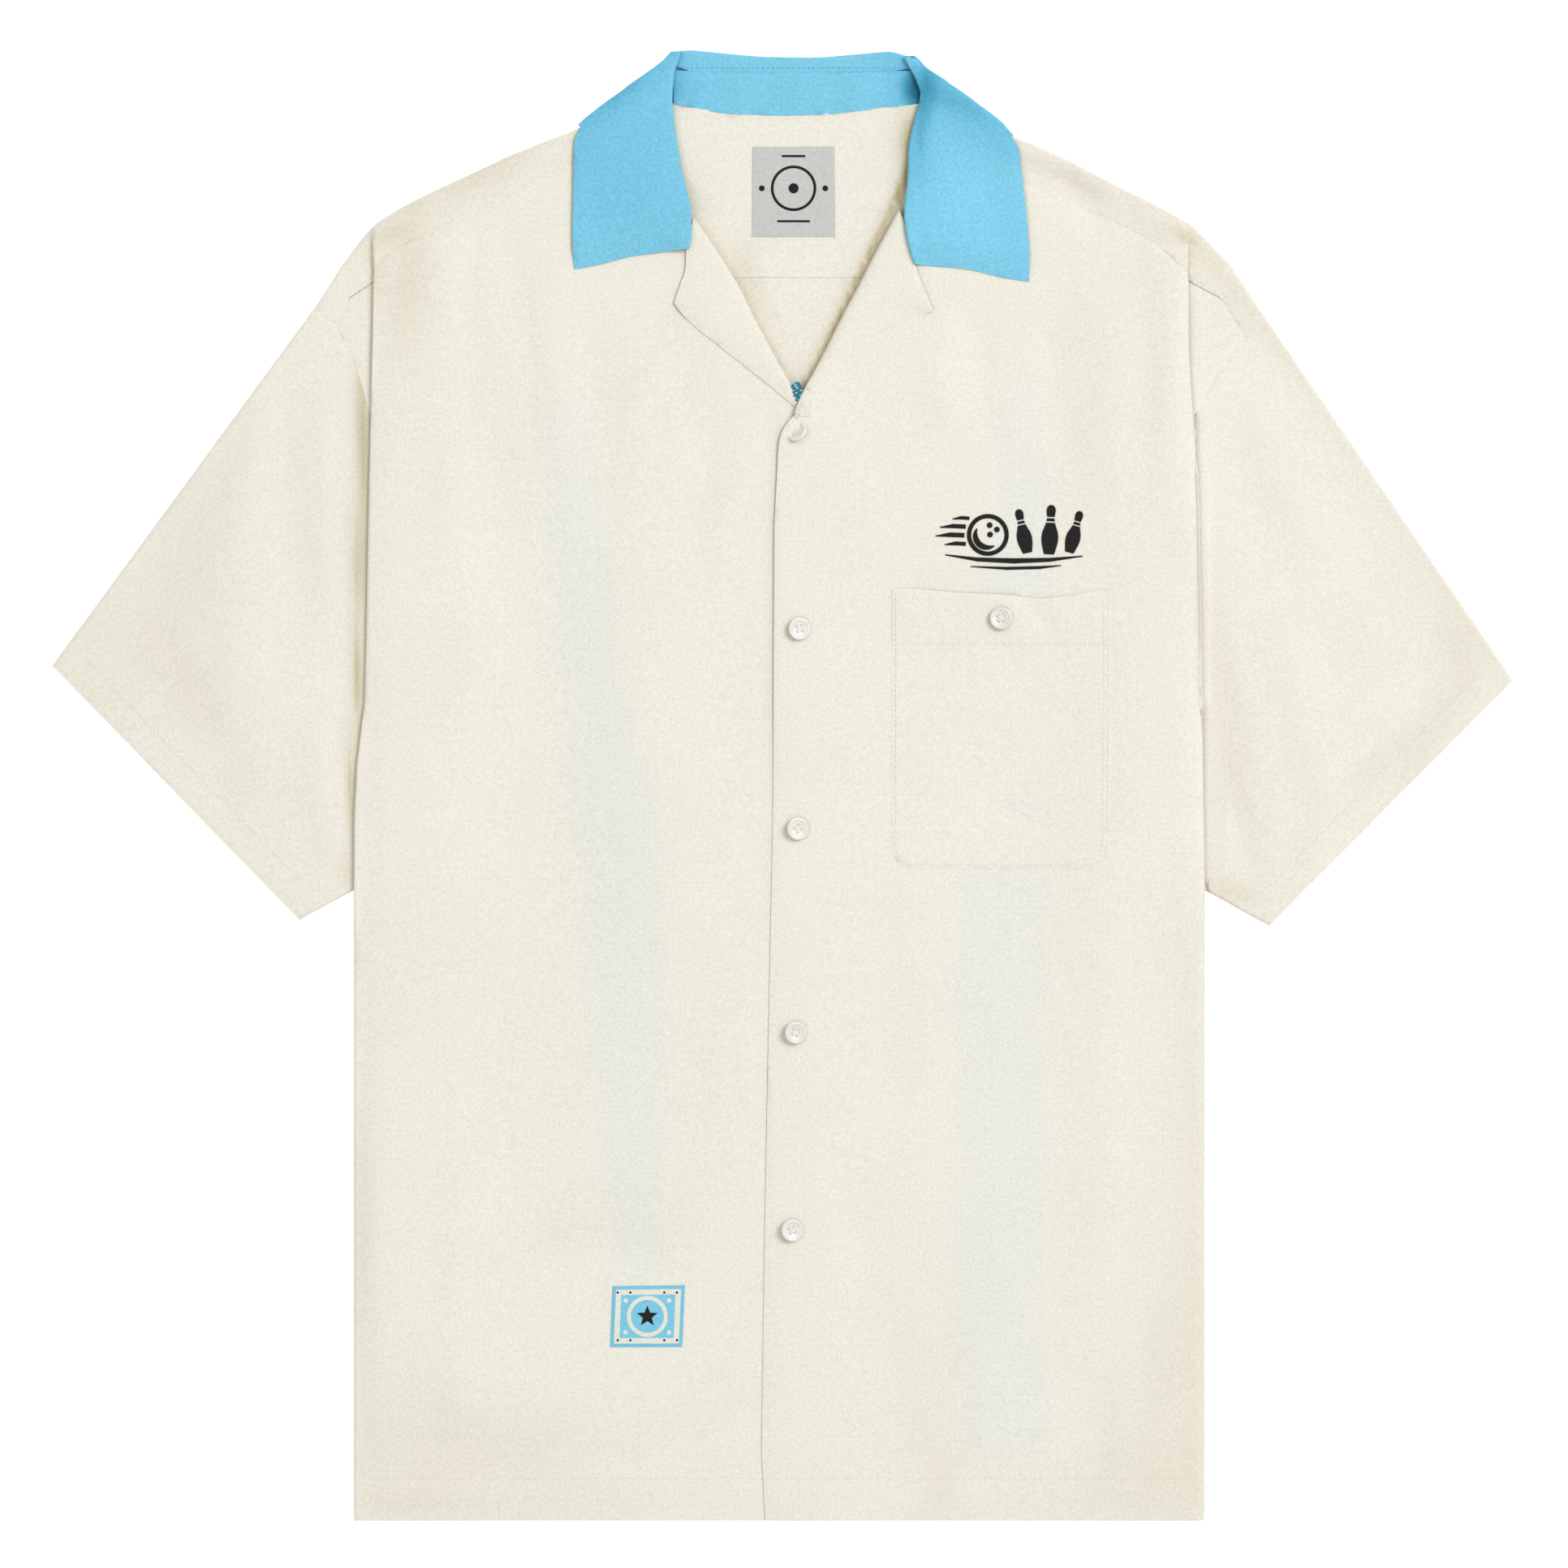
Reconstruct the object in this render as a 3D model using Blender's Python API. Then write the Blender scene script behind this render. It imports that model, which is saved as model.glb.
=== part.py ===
"""A short-sleeved bowling shirt laid flat on its back, buttoned, with its sides tucked in.

Tables are in millimetres and the meshes in metres. X runs across the shirt, +X to the wearer's
left. Y runs from the hem to the collar. Z is up from the surface that the shirt lies on.
"""

import math

import bmesh
import bpy
import numpy as np
from mathutils import Euler, Vector
from mathutils.bvhtree import BVHTree
from mathutils.geometry import tessellate_polygon

MM = 0.001

# ---------------------------------------------------------------- driving dimensions (mm)
CLOTH = 1.0            # thickness of every cloth wall
SEAM = 0.3             # space left between two pieces at a seam
LAYER = 0.35           # space left between two walls that lie on each other
STEP = CLOTH + LAYER   # rise from one wall's middle to the next one's
FLOOR = CLOTH / 2      # middle of a wall that lies on the surface

HEM_Y = -407.5         # lower edge of the fronts and the back
CHEST_RISE = 3.4       # middle of the fronts' wall between the side tucks
SHOULDER_RISE = 3.3    # middle of the top wall where it starts to turn over the shoulder

FOLD_RADIUS = 0.95     # side fold of the fronts, to the middle of the wall
INNER_RADIUS = STEP / 2
BACK_FOLD_INSET = 1.2  # the back's side fold lies this far inside the fronts' fold
ROLL_START_Y = 197.6   # the lapels' rolls start here
ROLL_INSET = 3.2       # the fronts' wall ends this far inside the lapel's roll line

NECK_CORNER_Y = 372.0  # the fronts' shoulder seams start at the neck here
FRONT_CORNER_Y = 286.0 # and reach the side folds here
BACK_CORNER_Y = 247.0  # the back's seam reaches its side folds here
YOKE_SIDE_Y = 306.0    # the yoke's side folds are as wide as the fronts' are here
TUCK_EASE_START = 48.0 # the fronts' walls start to change height this far inside a tuck
TUCK_EASE = 42.0       # and reach the tuck's height over this width
SHOULDER_EASE = (120.0, 60.0, 285.0, 20.0)   # start and width across, start and height up
MIN_STRIP = 0.6        # least width of a tuck's flat strip
MIN_STUB = 1.0         # least width between a tuck and the armhole seam
HEM_CORNER_WIDTH = 4.0
HEM_CORNER_HEIGHT = 5.0
ROLL_EASE = 6.0        # height over which the placket's edge goes into the lapel's roll

PRESS_REACH = 34.0     # the body's tuck presses on the sleeve as far out as this
PRESS_EASE = 26.0
SLEEVE_LOFT = 1.35     # air between a sleeve's walls
SIDE_LOFT_SHARE = 0.9  # share of that air beside the body
LOFT_START_Y = 212.0   # towards the shoulder the air is all there
LOFT_EASE = 36.0
SLEEVE_TIP_Y = -105.0  # the body lies on no sleeve below this height
SLEEVE_TIP_EASE = 38.0

FALL_SPARE = 0.1       # extra space between the collar's fall and the yoke on it
FALL_STEP_START = 13.0 # the yoke starts to rise this far before the fall's edge
FALL_STEP_EASE = 8.0
FALL_STEP_ROWS = (3.0, 13.5)   # rows of the yoke placed round that rise

OVERLAP_EASE = (16.0, 44.0)    # width over which the left front comes down: placket, neck
OVERLAP_EASE_Y = (150.0, 50.0)
OVERLAP_INSET = 3.0
OVERLAP_SPARE = 0.25
BREAK_Y = 214.0        # the right front turns out as its lapel here
BREAK_EASE = 24.0
LAPEL_OVERLAP_X = (16.0, 40.0)
LAPEL_OVERLAP_Y = (182.0, 16.0)
LAPEL_OVERLAP_EASE = 26.0
LAPEL_OVERLAP_SPARE = 0.2

FLAP_LIFT = 0.8        # extra space under the collar's flaps
GORGE_LIFT = 0.9       # and more of it where they lie on a lapel
GORGE_X = (84.0, 16.0)
GORGE_Y = (318.0, 22.0)
FLAP_SEAM_Y = (331.0, 8.0)     # the flap's inner roll comes down to the neck seam here
ROLL_SPARE = 0.1
COLLAR_REACH_GAP = 1.5
COLLAR_MIN_REACH = 1.2
COLLAR_TURN_UNDER = 5.0

SHARP_ANGLE = 50.0     # edges bent more than this are shaded sharp, in degrees
POCKET_PROBE, POCKET_LIFT = 3.0, 0.15
PATCH_PROBE, PATCH_LIFT = 2.0, 0.1

BUTTON_DIAMETER = 12.6
BUTTON_HOLE = 1.7
BUTTON_HOLE_SPACING = 2.9
POCKET_CORNER = 11.0

RIGHT, LEFT = -1, 1    # the wearer's sides: the wearer's right lies at -X

# Side fold of the fronts. Columns: y, distance of the fold from the middle.
SIDE_FOLD = {
    RIGHT: ((310, 226.6), (267, 226.8), (205, 228.1), (142, 229.5), (80, 230.6), (48, 231.2),
            (30, 234.0), (14, 235.6), (-15, 237.3), (-58, 237.5), (HEM_Y, 237.6)),
    LEFT: ((310, 223.9), (255, 225.2), (219, 225.9), (209, 227.4), (165, 230.2), (75, 232.0),
           (-15, 233.3), (-58, 233.8), (HEM_Y, 233.6)),
}
# Tuck of the fronts. Columns: y, depth, turn of the outer fold, turn of the inner fold.
FRONT_TUCK = (
    (312, 2.0, 0, 0), (300, 2.0, 60, 60), (290, 2.0, 180, 180), (276, 5, 180, 180),
    (236, 12, 180, 180), (205, 20, 180, 180), (142, 36, 180, 180), (111, 42, 180, 180),
    (48, 45, 180, 180), (HEM_Y, 45, 180, 180),
)
# Tuck of the back, with the same columns. Its yoke end lies flat.
BACK_TUCK = (
    (312, 2.0, 0, 0), (240, 2.0, 0, 0), (224, 1.7, 60, 60), (208, 1.7, 180, 180),
    (200, 4, 180, 180), (175, 14, 180, 180), (142, 24, 180, 180), (111, 32, 180, 180),
    (48, 40, 180, 180), (HEM_Y, 44, 180, 180),
)
# Armhole seam. Columns: y, distance from the middle. It runs from the shoulder to the underarm.
ARMHOLE = {
    RIGHT: ((264.2, 259.4), (260.6, 254.0), (252.9, 246.4), (236.2, 237.6), (226, 234.7),
            (205, 228.6), (180, 219.0), (142, 210.0), (111, 205.0), (48, 200.5), (-36, 198.5)),
    LEFT: ((257.5, 268.4), (254.8, 262.1), (248.0, 257.0), (241.7, 250.0), (228, 242.5),
           (209, 229.2), (180, 219.0), (142, 210.0), (111, 205.0), (48, 200.5), (-36, 195.5)),
}
# Shoulder line, where the yoke turns over. Columns: distance from the middle, y.
SHOULDER = {
    RIGHT: ((70.0, 384.0), (113.6, 363.2), (132.5, 356.4), (155.9, 346.9), (178.0, 336.2),
            (201.4, 325.4), (221.6, 314.6), (232.9, 303.8), (240.5, 292.9), (248.2, 282.2),
            (256.3, 270.4), (259.4, 264.2)),
    LEFT: ((87.0, 379.5), (131.0, 357.6), (136.6, 356.0), (157.3, 346.9), (177.1, 336.2),
           (198.7, 325.4), (219.4, 314.6), (236.9, 303.8), (245.0, 292.9), (252.2, 282.2),
           (260.9, 270.4), (268.4, 257.5)),
}
# Shoulder seam between yoke and front, up to the side fold. Columns: distance, y.
FRONT_SEAM = {
    RIGHT: ((62.0, 369.5), (116.8, 345.2), (164.0, 324.0), (199.1, 306.9), (211.3, 300.2),
            (223.4, 290.0), (226.6, 286.0)),
    LEFT: ((78.5, 360.0), (133.9, 335.7), (164.5, 322.7), (196.0, 309.2), (214.0, 296.0),
           (222.0, 286.5), (224.2, 283.5)),
}
# The same seam beyond the side fold, out to the armhole. Columns: distance, y.
LOWER_SEAM = {
    RIGHT: ((223.0, 281.0), (229.3, 276.8), (240.5, 261.9), (246.4, 252.9)),
    LEFT: ((221.0, 281.0), (234.2, 274.5), (250.0, 256.1), (257.0, 248.0)),
}
# Seam between yoke and back. Columns: distance from the middle, y.
BACK_SEAM = ((0, 281.5), (92, 281.0), (140, 273.5), (190, 259.0), (225, 247.0), (240, 241.0))
# Sleeve. Columns: corner, distance from the middle, y.
SLEEVE_CORNERS = {
    RIGHT: (("top", 404.8, 66.2), ("bottom", 267.5, -75.0)),
    LEFT: (("top", 404.8, 58.1), ("bottom", 269.3, -78.2)),
}
UNDERARM_Y = -36.0

# Inner edge of each front: placket edge, then roll line, then neck. Columns: y, x.
INNER_EDGE = {
    RIGHT: ((HEM_Y, 24.0), (150, 24.0), (196, 17.5), (213.8, 8.3), (230.0, 0.7), (243.9, -7.9),
            (261.9, -17.3), (291.4, -33.3), (305.6, -42.8), (314.1, -49.7), (324.0, -58.5),
            (339.3, -61.5), (369.5, -67.0)),
    LEFT: ((HEM_Y, -13.5), (-390.6, -13.3), (-370.4, -11.5), (-239.8, -9.7), (-14.8, -5.2),
           (174.2, -4.4), (187.2, -2.9), (197.6, 0.7), (207.0, 5.6), (216.5, 10.1),
           (235.3, 20.7), (263.9, 34.9), (296.1, 52.0), (316.8, 63.2), (327.0, 72.5),
           (343.4, 77.5), (360.0, 83.5)),
}
# Neckline of the yoke, from the wearer's right to the left. Columns: x, y.
NECKLINE = ((-60.3, 377.1), (-50.0, 374.9), (-31.7, 372.2), (-13.3, 371.5), (16.0, 371.2),
            (35.8, 373.1), (64.1, 375.9), (76.0, 377.5))
# Lapels. Columns: roll line x, y; outer edge x, y. From the break up to under the collar.
LAPEL = {
    RIGHT: ((6.0, 217.8, 2.5, 212.6), (2.8, 225.4, -7.5, 221.4), (-3.9, 237.0, -19.0, 230.6),
            (-12.0, 252.2, -33.0, 241.6), (-17.6, 262.5, -46.0, 251.6),
            (-22.9, 274.5, -55.1, 260.1), (-28.2, 283.0, -60.1, 266.9),
            (-33.3, 291.4, -56.9, 276.3), (-42.8, 305.6, -53.6, 285.2),
            (-49.2, 314.4, -53.4, 298.0)),
    LEFT: ((4.2, 204.2, 8.6, 200.0), (7.0, 208.5, 13.0, 205.6),
           (10.1, 216.5, 22.0, 213.4), (15.5, 226.0, 35.0, 224.5),
           (20.7, 235.3, 49.0, 236.6), (27.5, 249.0, 62.0, 248.0), (34.9, 263.9, 74.5, 258.6),
           (40.5, 274.0, 83.2, 262.6), (47.5, 288.0, 78.5, 274.2),
           (54.5, 301.0, 73.6, 286.4), (64.4, 319.0, 71.0, 300.0)),
}
LAPEL_TURN_UNDER = 5.0   # how far the lapel's cloth goes on under the front
# Collar flaps on the fronts. Columns: roll edge x, y; outer edge x, y. From the tip upwards.
FLAP = {
    RIGHT: ((-51.6, 296.1, -115.4, 285.0), (-50.2, 305.0, -116.6, 298.0),
            (-51.0, 321.0, -117.0, 316.0), (-55.6, 339.3, -116.6, 333.0),
            (-59.2, 360.0, -116.1, 348.3), (-61.4, 380.2, -115.0, 359.5)),
    LEFT: ((72.8, 287.7, 136.2, 278.6), (68.6, 301.0, 136.6, 294.0),
           (66.9, 318.0, 135.9, 308.0), (69.2, 331.0, 135.2, 317.0),
           (71.8, 343.4, 134.3, 328.0),
           (76.1, 364.1, 132.6, 342.0), (78.0, 382.0, 130.6, 354.0)),
}
FLAP_SAG = {RIGHT: -2.2, LEFT: -1.6}   # how far the flap's lower edge bows down
# Fold of the collar over the shoulder. Columns: outer end x, y; bow point x, y; inner end x, y.
COLLAR_FOLD = {
    RIGHT: (-114.3, 366.4, -90.6, 384.2, -62.0, 404.6),
    LEFT: (129.6, 361.2, 102.6, 382.6, 73.5, 402.0),
}
# Rolled top edge of the collar behind the neck. Columns: x, y.
ROLL_TOP = ((-53.8, 407.2), (-47.0, 407.5), (-33.5, 406.1), (-6.5, 404.3), (20.5, 404.3),
            (47.5, 406.0), (59.5, 407.2), (66.0, 406.2))
STAND_TOP_Y = 396.0     # seam between the stand and the collar's leaf
STAND_RISE = 2.9        # middle of the stand's wall at that seam
STAND_END_X = (-61.0, 76.0)   # its ends at that seam
FALL_EDGE_Y = 338.0     # lowest point of the collar behind the neck

# Broad soft folds of the fronts. Columns: x, y of each end, half width, height.
SOFT_FOLDS = (
    (-136.0, 296.0, -142.0, 196.0, 11.0, -0.55),
    (-106.0, 257.0, -104.0, 214.0, 10.0, -0.45),
    (-62.0, 254.0, -64.0, 206.0, 10.0, -0.45),
    (-206.0, 300.0, -199.0, 254.0, 9.0, -0.4),
    (-21.0, 193.0, -38.0, 140.0, 9.0, 0.5),
    (-8.0, -300.0, -62.0, -372.0, 14.0, -0.5),
    (-128.0, -224.0, -64.0, -254.0, 18.0, -0.5),
    (46.0, -150.0, 56.0, -216.0, 12.0, 0.45),
    (214.0, -336.0, 206.0, -396.0, 14.0, -0.45),
    (166.0, 338.0, 200.0, 318.0, 5.0, 0.5),
)

FOLD_FADE = 0.35      # share of a fold's length over which it fades out
FOLD_END = 0.6        # how much of it is left at its stated end
FOLD_SPREAD = 1.7     # its foot is this much wider than its half width

# Patch pocket on the wearer's left front. Columns: x, y of the mouth's edge.
POCKET_MOUTH = ((60.6, 108.4), (67.7, 109.2), (97.0, 106.4), (124.0, 105.3), (142.0, 102.8),
                (164.5, 105.3), (176.6, 108.7), (182.6, 107.8))
POCKET_LEFT_X, POCKET_RIGHT_X, POCKET_BOTTOM_Y = 60.3, 181.6, -46.4
POCKET_GAPE = 0.9
# Label inside the neck and patch above the hem. Columns: corner x, y, in order round the edge.
LABEL_CORNERS = ((-16.9, 303.8), (29.0, 303.8), (28.6, 353.7), (-16.6, 353.4))
PATCH_CORNERS = ((-95.6, -311.4), (-55.6, -311.4), (-54.2, -277.2), (-94.3, -277.7))
# Buttons. Columns: name, x, y, lean about X in degrees, lean about Y in degrees.
BUTTONS = (
    ("button_1", 8.6, 194.6, -31.0, -26.0),
    ("button_2", 9.2, 86.4, 0.0, 28.0),
    ("button_3", 8.3, -24.3, 0.0, 30.0),
    ("button_4", 7.0, -137.2, 0.0, 38.0),
    ("button_5", 5.2, -246.6, 0.0, 34.0),
    ("button_pocket", 120.8, 92.2, 0.0, 0.0),
)

# Colours: linear red, green, blue; roughness.
IVORY = ((0.86, 0.83, 0.74), 0.62)
SKY = ((0.20, 0.59, 0.79), 0.6)
WHITE = ((0.76, 0.76, 0.72), 0.7)
PEARL = ((0.80, 0.79, 0.74), 0.25)


# ---------------------------------------------------------------- small helpers
def interpolate(table, value, column=1):
    """Read one column of a table at a value of its first column."""
    rows = sorted(table, key=lambda row: row[0])
    return float(np.interp(value, [row[0] for row in rows], [row[column] for row in rows]))


def smooth(value):
    """Ease from 0 to 1 while the value goes from 0 to 1."""
    value = min(max(value, 0.0), 1.0)
    return value * value * (3.0 - 2.0 * value)


def spaced(count):
    """Evenly spaced numbers from 0 to 1, with this many steps."""
    return [index / count for index in range(count + 1)]


def lerp(start, end, share):
    return start + (end - start) * share


def unit(vector):
    return vector / max(float(np.linalg.norm(vector)), 1e-9)


# ---------------------------------------------------------------- the side tuck's section
ARC_STEPS = 4          # facets of the outer fold
INNER_STEPS = 3        # facets of the inner fold
STUB_STEPS = 2         # facets between the inner fold and the armhole seam
STUB_SAG = 0.25        # how far the front sags between them
SECTION_POINTS = ARC_STEPS + 1 + INNER_STEPS + 1
TUCK_COLUMNS = SECTION_POINTS + STUB_STEPS


def fold_x(side, y):
    return interpolate(SIDE_FOLD[side], y)


def armhole_x(side, y):
    return interpolate(ARMHOLE[side], y)


def tuck_section(table, y, radius):
    """Points of a tuck from where it leaves the flat wall, as distance outwards and drop."""
    depth = interpolate(table, y, 1)
    outer_turn = math.radians(interpolate(table, y, 2))
    inner_turn = math.radians(interpolate(table, y, 3))
    outward, drop, heading = 0.0, 0.0, 0.0
    points = [(outward, drop)]
    strip = max(depth - radius - CLOTH / 2, MIN_STRIP)
    spans = ((ARC_STEPS, math.pi * radius, outer_turn), (1, strip, 0.0),
             (INNER_STEPS, math.pi * INNER_RADIUS, -inner_turn))
    for steps, length, turn in spans:
        for _ in range(steps):
            heading += turn / steps / 2
            outward += math.cos(heading) * length / steps
            drop += math.sin(heading) * length / steps
            heading += turn / steps / 2
            points.append((outward, drop))
    return points


def front_drop(y):
    """How far the front's armhole edge lies below its outer wall at the side fold."""
    return tuck_section(FRONT_TUCK, y, FOLD_RADIUS)[-1][1]


def back_drop(y):
    """How far the back's armhole edge lies above its outer wall at the side fold."""
    return tuck_section(BACK_TUCK, y, INNER_RADIUS)[-1][1]


# ---------------------------------------------------------------- heights of the layers
def shoulder_y(side, distance):
    return interpolate(SHOULDER[side], distance)


def fall_edge_y(x):
    """Outer edge of the collar where it lies under the back of the neck."""
    end_x, end_y = COLLAR_FOLD[RIGHT if x < 0 else LEFT][:2]
    return FALL_EDGE_Y + (end_y - FALL_EDGE_Y) * min(x / end_x, 1.4) ** 2.6


def yoke_z(x, y):
    """Middle of the yoke's lower wall: on the surface, and on the collar where that is under it."""
    on_fall = smooth((y - fall_edge_y(x) + FALL_STEP_START) / FALL_STEP_EASE)
    return FLOOR + (STEP + FALL_SPARE) * on_fall


def outside_fold(side, x, y):
    """How far a point lies outside the side fold."""
    return side * x - fold_x(side, y)


def sleeve_lower_z(side, x, y):
    """Middle of the sleeve's lower wall: on the back's tuck at the body, on the surface beyond."""
    ease = smooth((PRESS_REACH - outside_fold(side, x, y)) / PRESS_EASE)
    return FLOOR + min(back_drop(y), 4.0 * INNER_RADIUS) * ease


def sleeve_loft(side, x, y):
    """Air between the sleeve's walls, gone where the body presses on them."""
    clear = smooth((outside_fold(side, x, y) - CLOTH) / PRESS_REACH)
    near_shoulder = smooth((y - LOFT_START_Y) / LOFT_EASE)
    return SLEEVE_LOFT * max(clear * SIDE_LOFT_SHARE, near_shoulder)


def sleeve_upper_z(side, x, y):
    return sleeve_lower_z(side, x, y) + STEP + sleeve_loft(side, x, y)


def side_rise(side, y):
    """Middle of the front's outer wall where it reaches the side fold."""
    over_sleeve = sleeve_upper_z(side, side * fold_x(side, y), y) + front_drop(y)
    below_sleeve = FLOOR + 2 * INNER_RADIUS + STEP + 2 * FOLD_RADIUS
    return lerp(below_sleeve, over_sleeve, smooth((y - SLEEVE_TIP_Y) / SLEEVE_TIP_EASE))


def soft_fold_z(x, y):
    """Broad soft folds, each a rounded ridge or trough that fades out at its ends."""
    rise = 0.0
    for x0, y0, x1, y1, half_width, height in SOFT_FOLDS:
        length = math.hypot(x1 - x0, y1 - y0)
        along = ((x - x0) * (x1 - x0) + (y - y0) * (y1 - y0)) / length ** 2
        across = abs((x1 - x0) * (y - y0) - (y1 - y0) * (x - x0)) / length
        ends = smooth(along / FOLD_FADE + FOLD_END) * smooth((1.0 - along) / FOLD_FADE + FOLD_END)
        rise += height * smooth(1.0 - across / (FOLD_SPREAD * half_width)) * ends
    return rise


def placket_rise(x, y):
    """Rise of the wearer's left front where it lies on the right one."""
    edge = interpolate(INNER_EDGE[RIGHT], min(y, BREAK_Y))
    width = lerp(*OVERLAP_EASE, smooth((y - OVERLAP_EASE_Y[0]) / OVERLAP_EASE_Y[1]))
    over_front = smooth(1.0 - (x - edge - OVERLAP_INSET) / width)
    over_front *= smooth(1.0 - (y - BREAK_Y) / BREAK_EASE)
    over_lapel = smooth(1.0 - (x - LAPEL_OVERLAP_X[0]) / LAPEL_OVERLAP_X[1])
    over_lapel *= smooth((y - LAPEL_OVERLAP_Y[0]) / LAPEL_OVERLAP_Y[1])
    over_lapel *= smooth(1.0 - (y - BREAK_Y) / LAPEL_OVERLAP_EASE)
    return (STEP + OVERLAP_SPARE) * over_front + (STEP + LAPEL_OVERLAP_SPARE) * over_lapel


def front_z(side, x, y):
    """Middle of a front's outer wall, and of the yoke's upper wall."""
    distance = side * x
    depth = interpolate(FRONT_TUCK, y, 1)
    tucked = smooth((distance - (fold_x(side, y) - depth - TUCK_EASE_START)) / TUCK_EASE)
    start_x, width, start_y, height = SHOULDER_EASE
    at_shoulder = smooth((distance - start_x) / width) * smooth((y - start_y) / height)
    middle = CHEST_RISE + soft_fold_z(x, y) * (1.0 - tucked)
    inside = lerp(middle, SHOULDER_RISE, at_shoulder)
    rise = lerp(inside, side_rise(side, min(y, YOKE_SIDE_Y)), tucked)
    return rise + (placket_rise(x, y) if side == LEFT else 0.0)


def lapel_z(side, x, y):
    return front_z(side, x, y) + STEP + SEAM


def flap_z(side, x, y):
    """Middle of a collar flap: clear of the lapel at the gorge, close to the cloth elsewhere."""
    distance = side * x
    over_lapel = smooth(1.0 - (distance - GORGE_X[0]) / GORGE_X[1])
    over_lapel *= smooth(1.0 - (y - GORGE_Y[0]) / GORGE_Y[1])
    lift = FLAP_LIFT + (STEP + GORGE_LIFT) * over_lapel
    return front_z(side, x, min(y, shoulder_y(side, distance))) + STEP + lift


# ---------------------------------------------------------------- making walls
def cell_corners(row, column, columns):
    after = (column + 1) % columns
    return (row, column), (row, after), (row + 1, after), (row + 1, column)


def grid_normals(grid, cells):
    """Unit normals at the points of a grid, averaged over the cells that exist."""
    normals = np.zeros_like(grid)
    for row, column in np.argwhere(cells):
        corners = cell_corners(row, column, grid.shape[1])
        across = np.cross(grid[corners[2]] - grid[corners[0]], grid[corners[3]] - grid[corners[1]])
        for corner in corners:
            normals[corner] += unit(across)
    return normals / np.maximum(np.linalg.norm(normals, axis=2, keepdims=True), 1e-9)


def add_wall(name, grid, finish, cells=None, wrap=False):
    """Make a closed wall of cloth round a grid of middle points given in millimetres."""
    grid = np.array(grid, dtype=float)
    rows, columns = grid.shape[:2]
    if cells is None:
        cells = np.ones((rows - 1, columns if wrap else columns - 1), dtype=bool)
    normals = grid_normals(grid, cells)
    work = bmesh.new()
    upper, lower, rim = {}, {}, set()
    for row, column in np.argwhere(cells):
        corners = cell_corners(row, column, columns)
        for corner in corners:
            if corner not in upper:
                shift = normals[corner] * CLOTH / 2
                upper[corner] = work.verts.new((grid[corner] + shift) * MM)
                lower[corner] = work.verts.new((grid[corner] - shift) * MM)
        work.faces.new([upper[corner] for corner in corners])
        work.faces.new([lower[corner] for corner in reversed(corners)])
        for start, end in zip(corners, corners[1:] + corners[:1]):
            if (end, start) in rim:
                rim.remove((end, start))
            else:
                rim.add((start, end))
    for start, end in sorted(rim):
        work.faces.new((upper[end], upper[start], lower[start], lower[end]))
    bmesh.ops.triangulate(work, faces=work.faces, quad_method="SHORT_EDGE")
    bmesh.ops.recalc_face_normals(work, faces=work.faces)
    return add_object(name, work, finish)


def add_object(name, work, finish):
    """Put a mesh in the scene as one named object with its own material."""
    colour, roughness = finish
    mesh = bpy.data.meshes.new(name)
    work.to_mesh(mesh)
    work.free()
    material = bpy.data.materials.new(name)
    material.use_nodes = True
    shader = material.node_tree.nodes["Principled BSDF"]
    shader.inputs["Base Color"].default_value = (*colour, 1.0)
    shader.inputs["Roughness"].default_value = roughness
    shader.inputs["Metallic"].default_value = 0.0
    mesh.materials.append(material)
    mesh.shade_smooth()
    mesh.set_sharp_from_angle(angle=math.radians(SHARP_ANGLE))
    thing = bpy.data.objects.new(name, mesh)
    bpy.context.scene.collection.objects.link(thing)
    return thing


# ---------------------------------------------------------------- fronts
# Heights of the rows where they reach the armhole edge; the last row is the yoke's seam.
FRONT_LEVELS = (HEM_Y, -375, -330, -280, -230, -180, -140, -108, -84, -62, UNDERARM_Y, -8, 25,
                65, 105, 111, 117, 128, 142, 175, 200, 220, 238)
BACK_LEVELS = (HEM_Y, -240, -100, -62, UNDERARM_Y, 10, 65, 105, 142, 175, 200, 220, 238)
MAIN_SHARES = {
    RIGHT: (0.0, 0.1, 0.2, 0.31, 0.38, 0.52, 0.68, 0.82, 0.92),
    LEFT: (0.0, 0.07, 0.155, 0.235, 0.34, 0.41, 0.54, 0.68, 0.82, 0.92),
}
BACK_MAIN_SHARES = {RIGHT: (0.0, 0.2, 0.52, 0.82), LEFT: (0.0, 0.235, 0.54, 0.82)}


def section_start(side, y, inset, radius):
    """Distance from the middle at which a side fold leaves the outer wall."""
    return fold_x(side, y) - inset - radius - CLOTH / 2


def body_shares(levels, top_y):
    """Rows of a body panel as shares of the way from its hem to its top edge."""
    return [(level - HEM_Y) / (top_y - HEM_Y) for level in levels] + [1.0]


def front_seam_point(side, share):
    """Point of the shoulder seam at a share of the way from the neck to the side fold."""
    start = side * interpolate(INNER_EDGE[side], NECK_CORNER_Y) + ROLL_INSET
    end = section_start(side, FRONT_CORNER_Y, 0.0, FOLD_RADIUS)
    distance = lerp(start, end, share)
    return distance, interpolate(FRONT_SEAM[side], distance)


def front_inner_edge(side, y):
    """Distance of the placket edge, or of the wall's end inside the lapel's roll."""
    inset = ROLL_INSET * smooth((y - ROLL_START_Y) / ROLL_EASE)
    corner = HEM_CORNER_WIDTH * smooth((HEM_Y + HEM_CORNER_HEIGHT - y) / HEM_CORNER_HEIGHT)
    return side * interpolate(INNER_EDGE[side], y) + inset + (corner if side == LEFT else 0.0)


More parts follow.
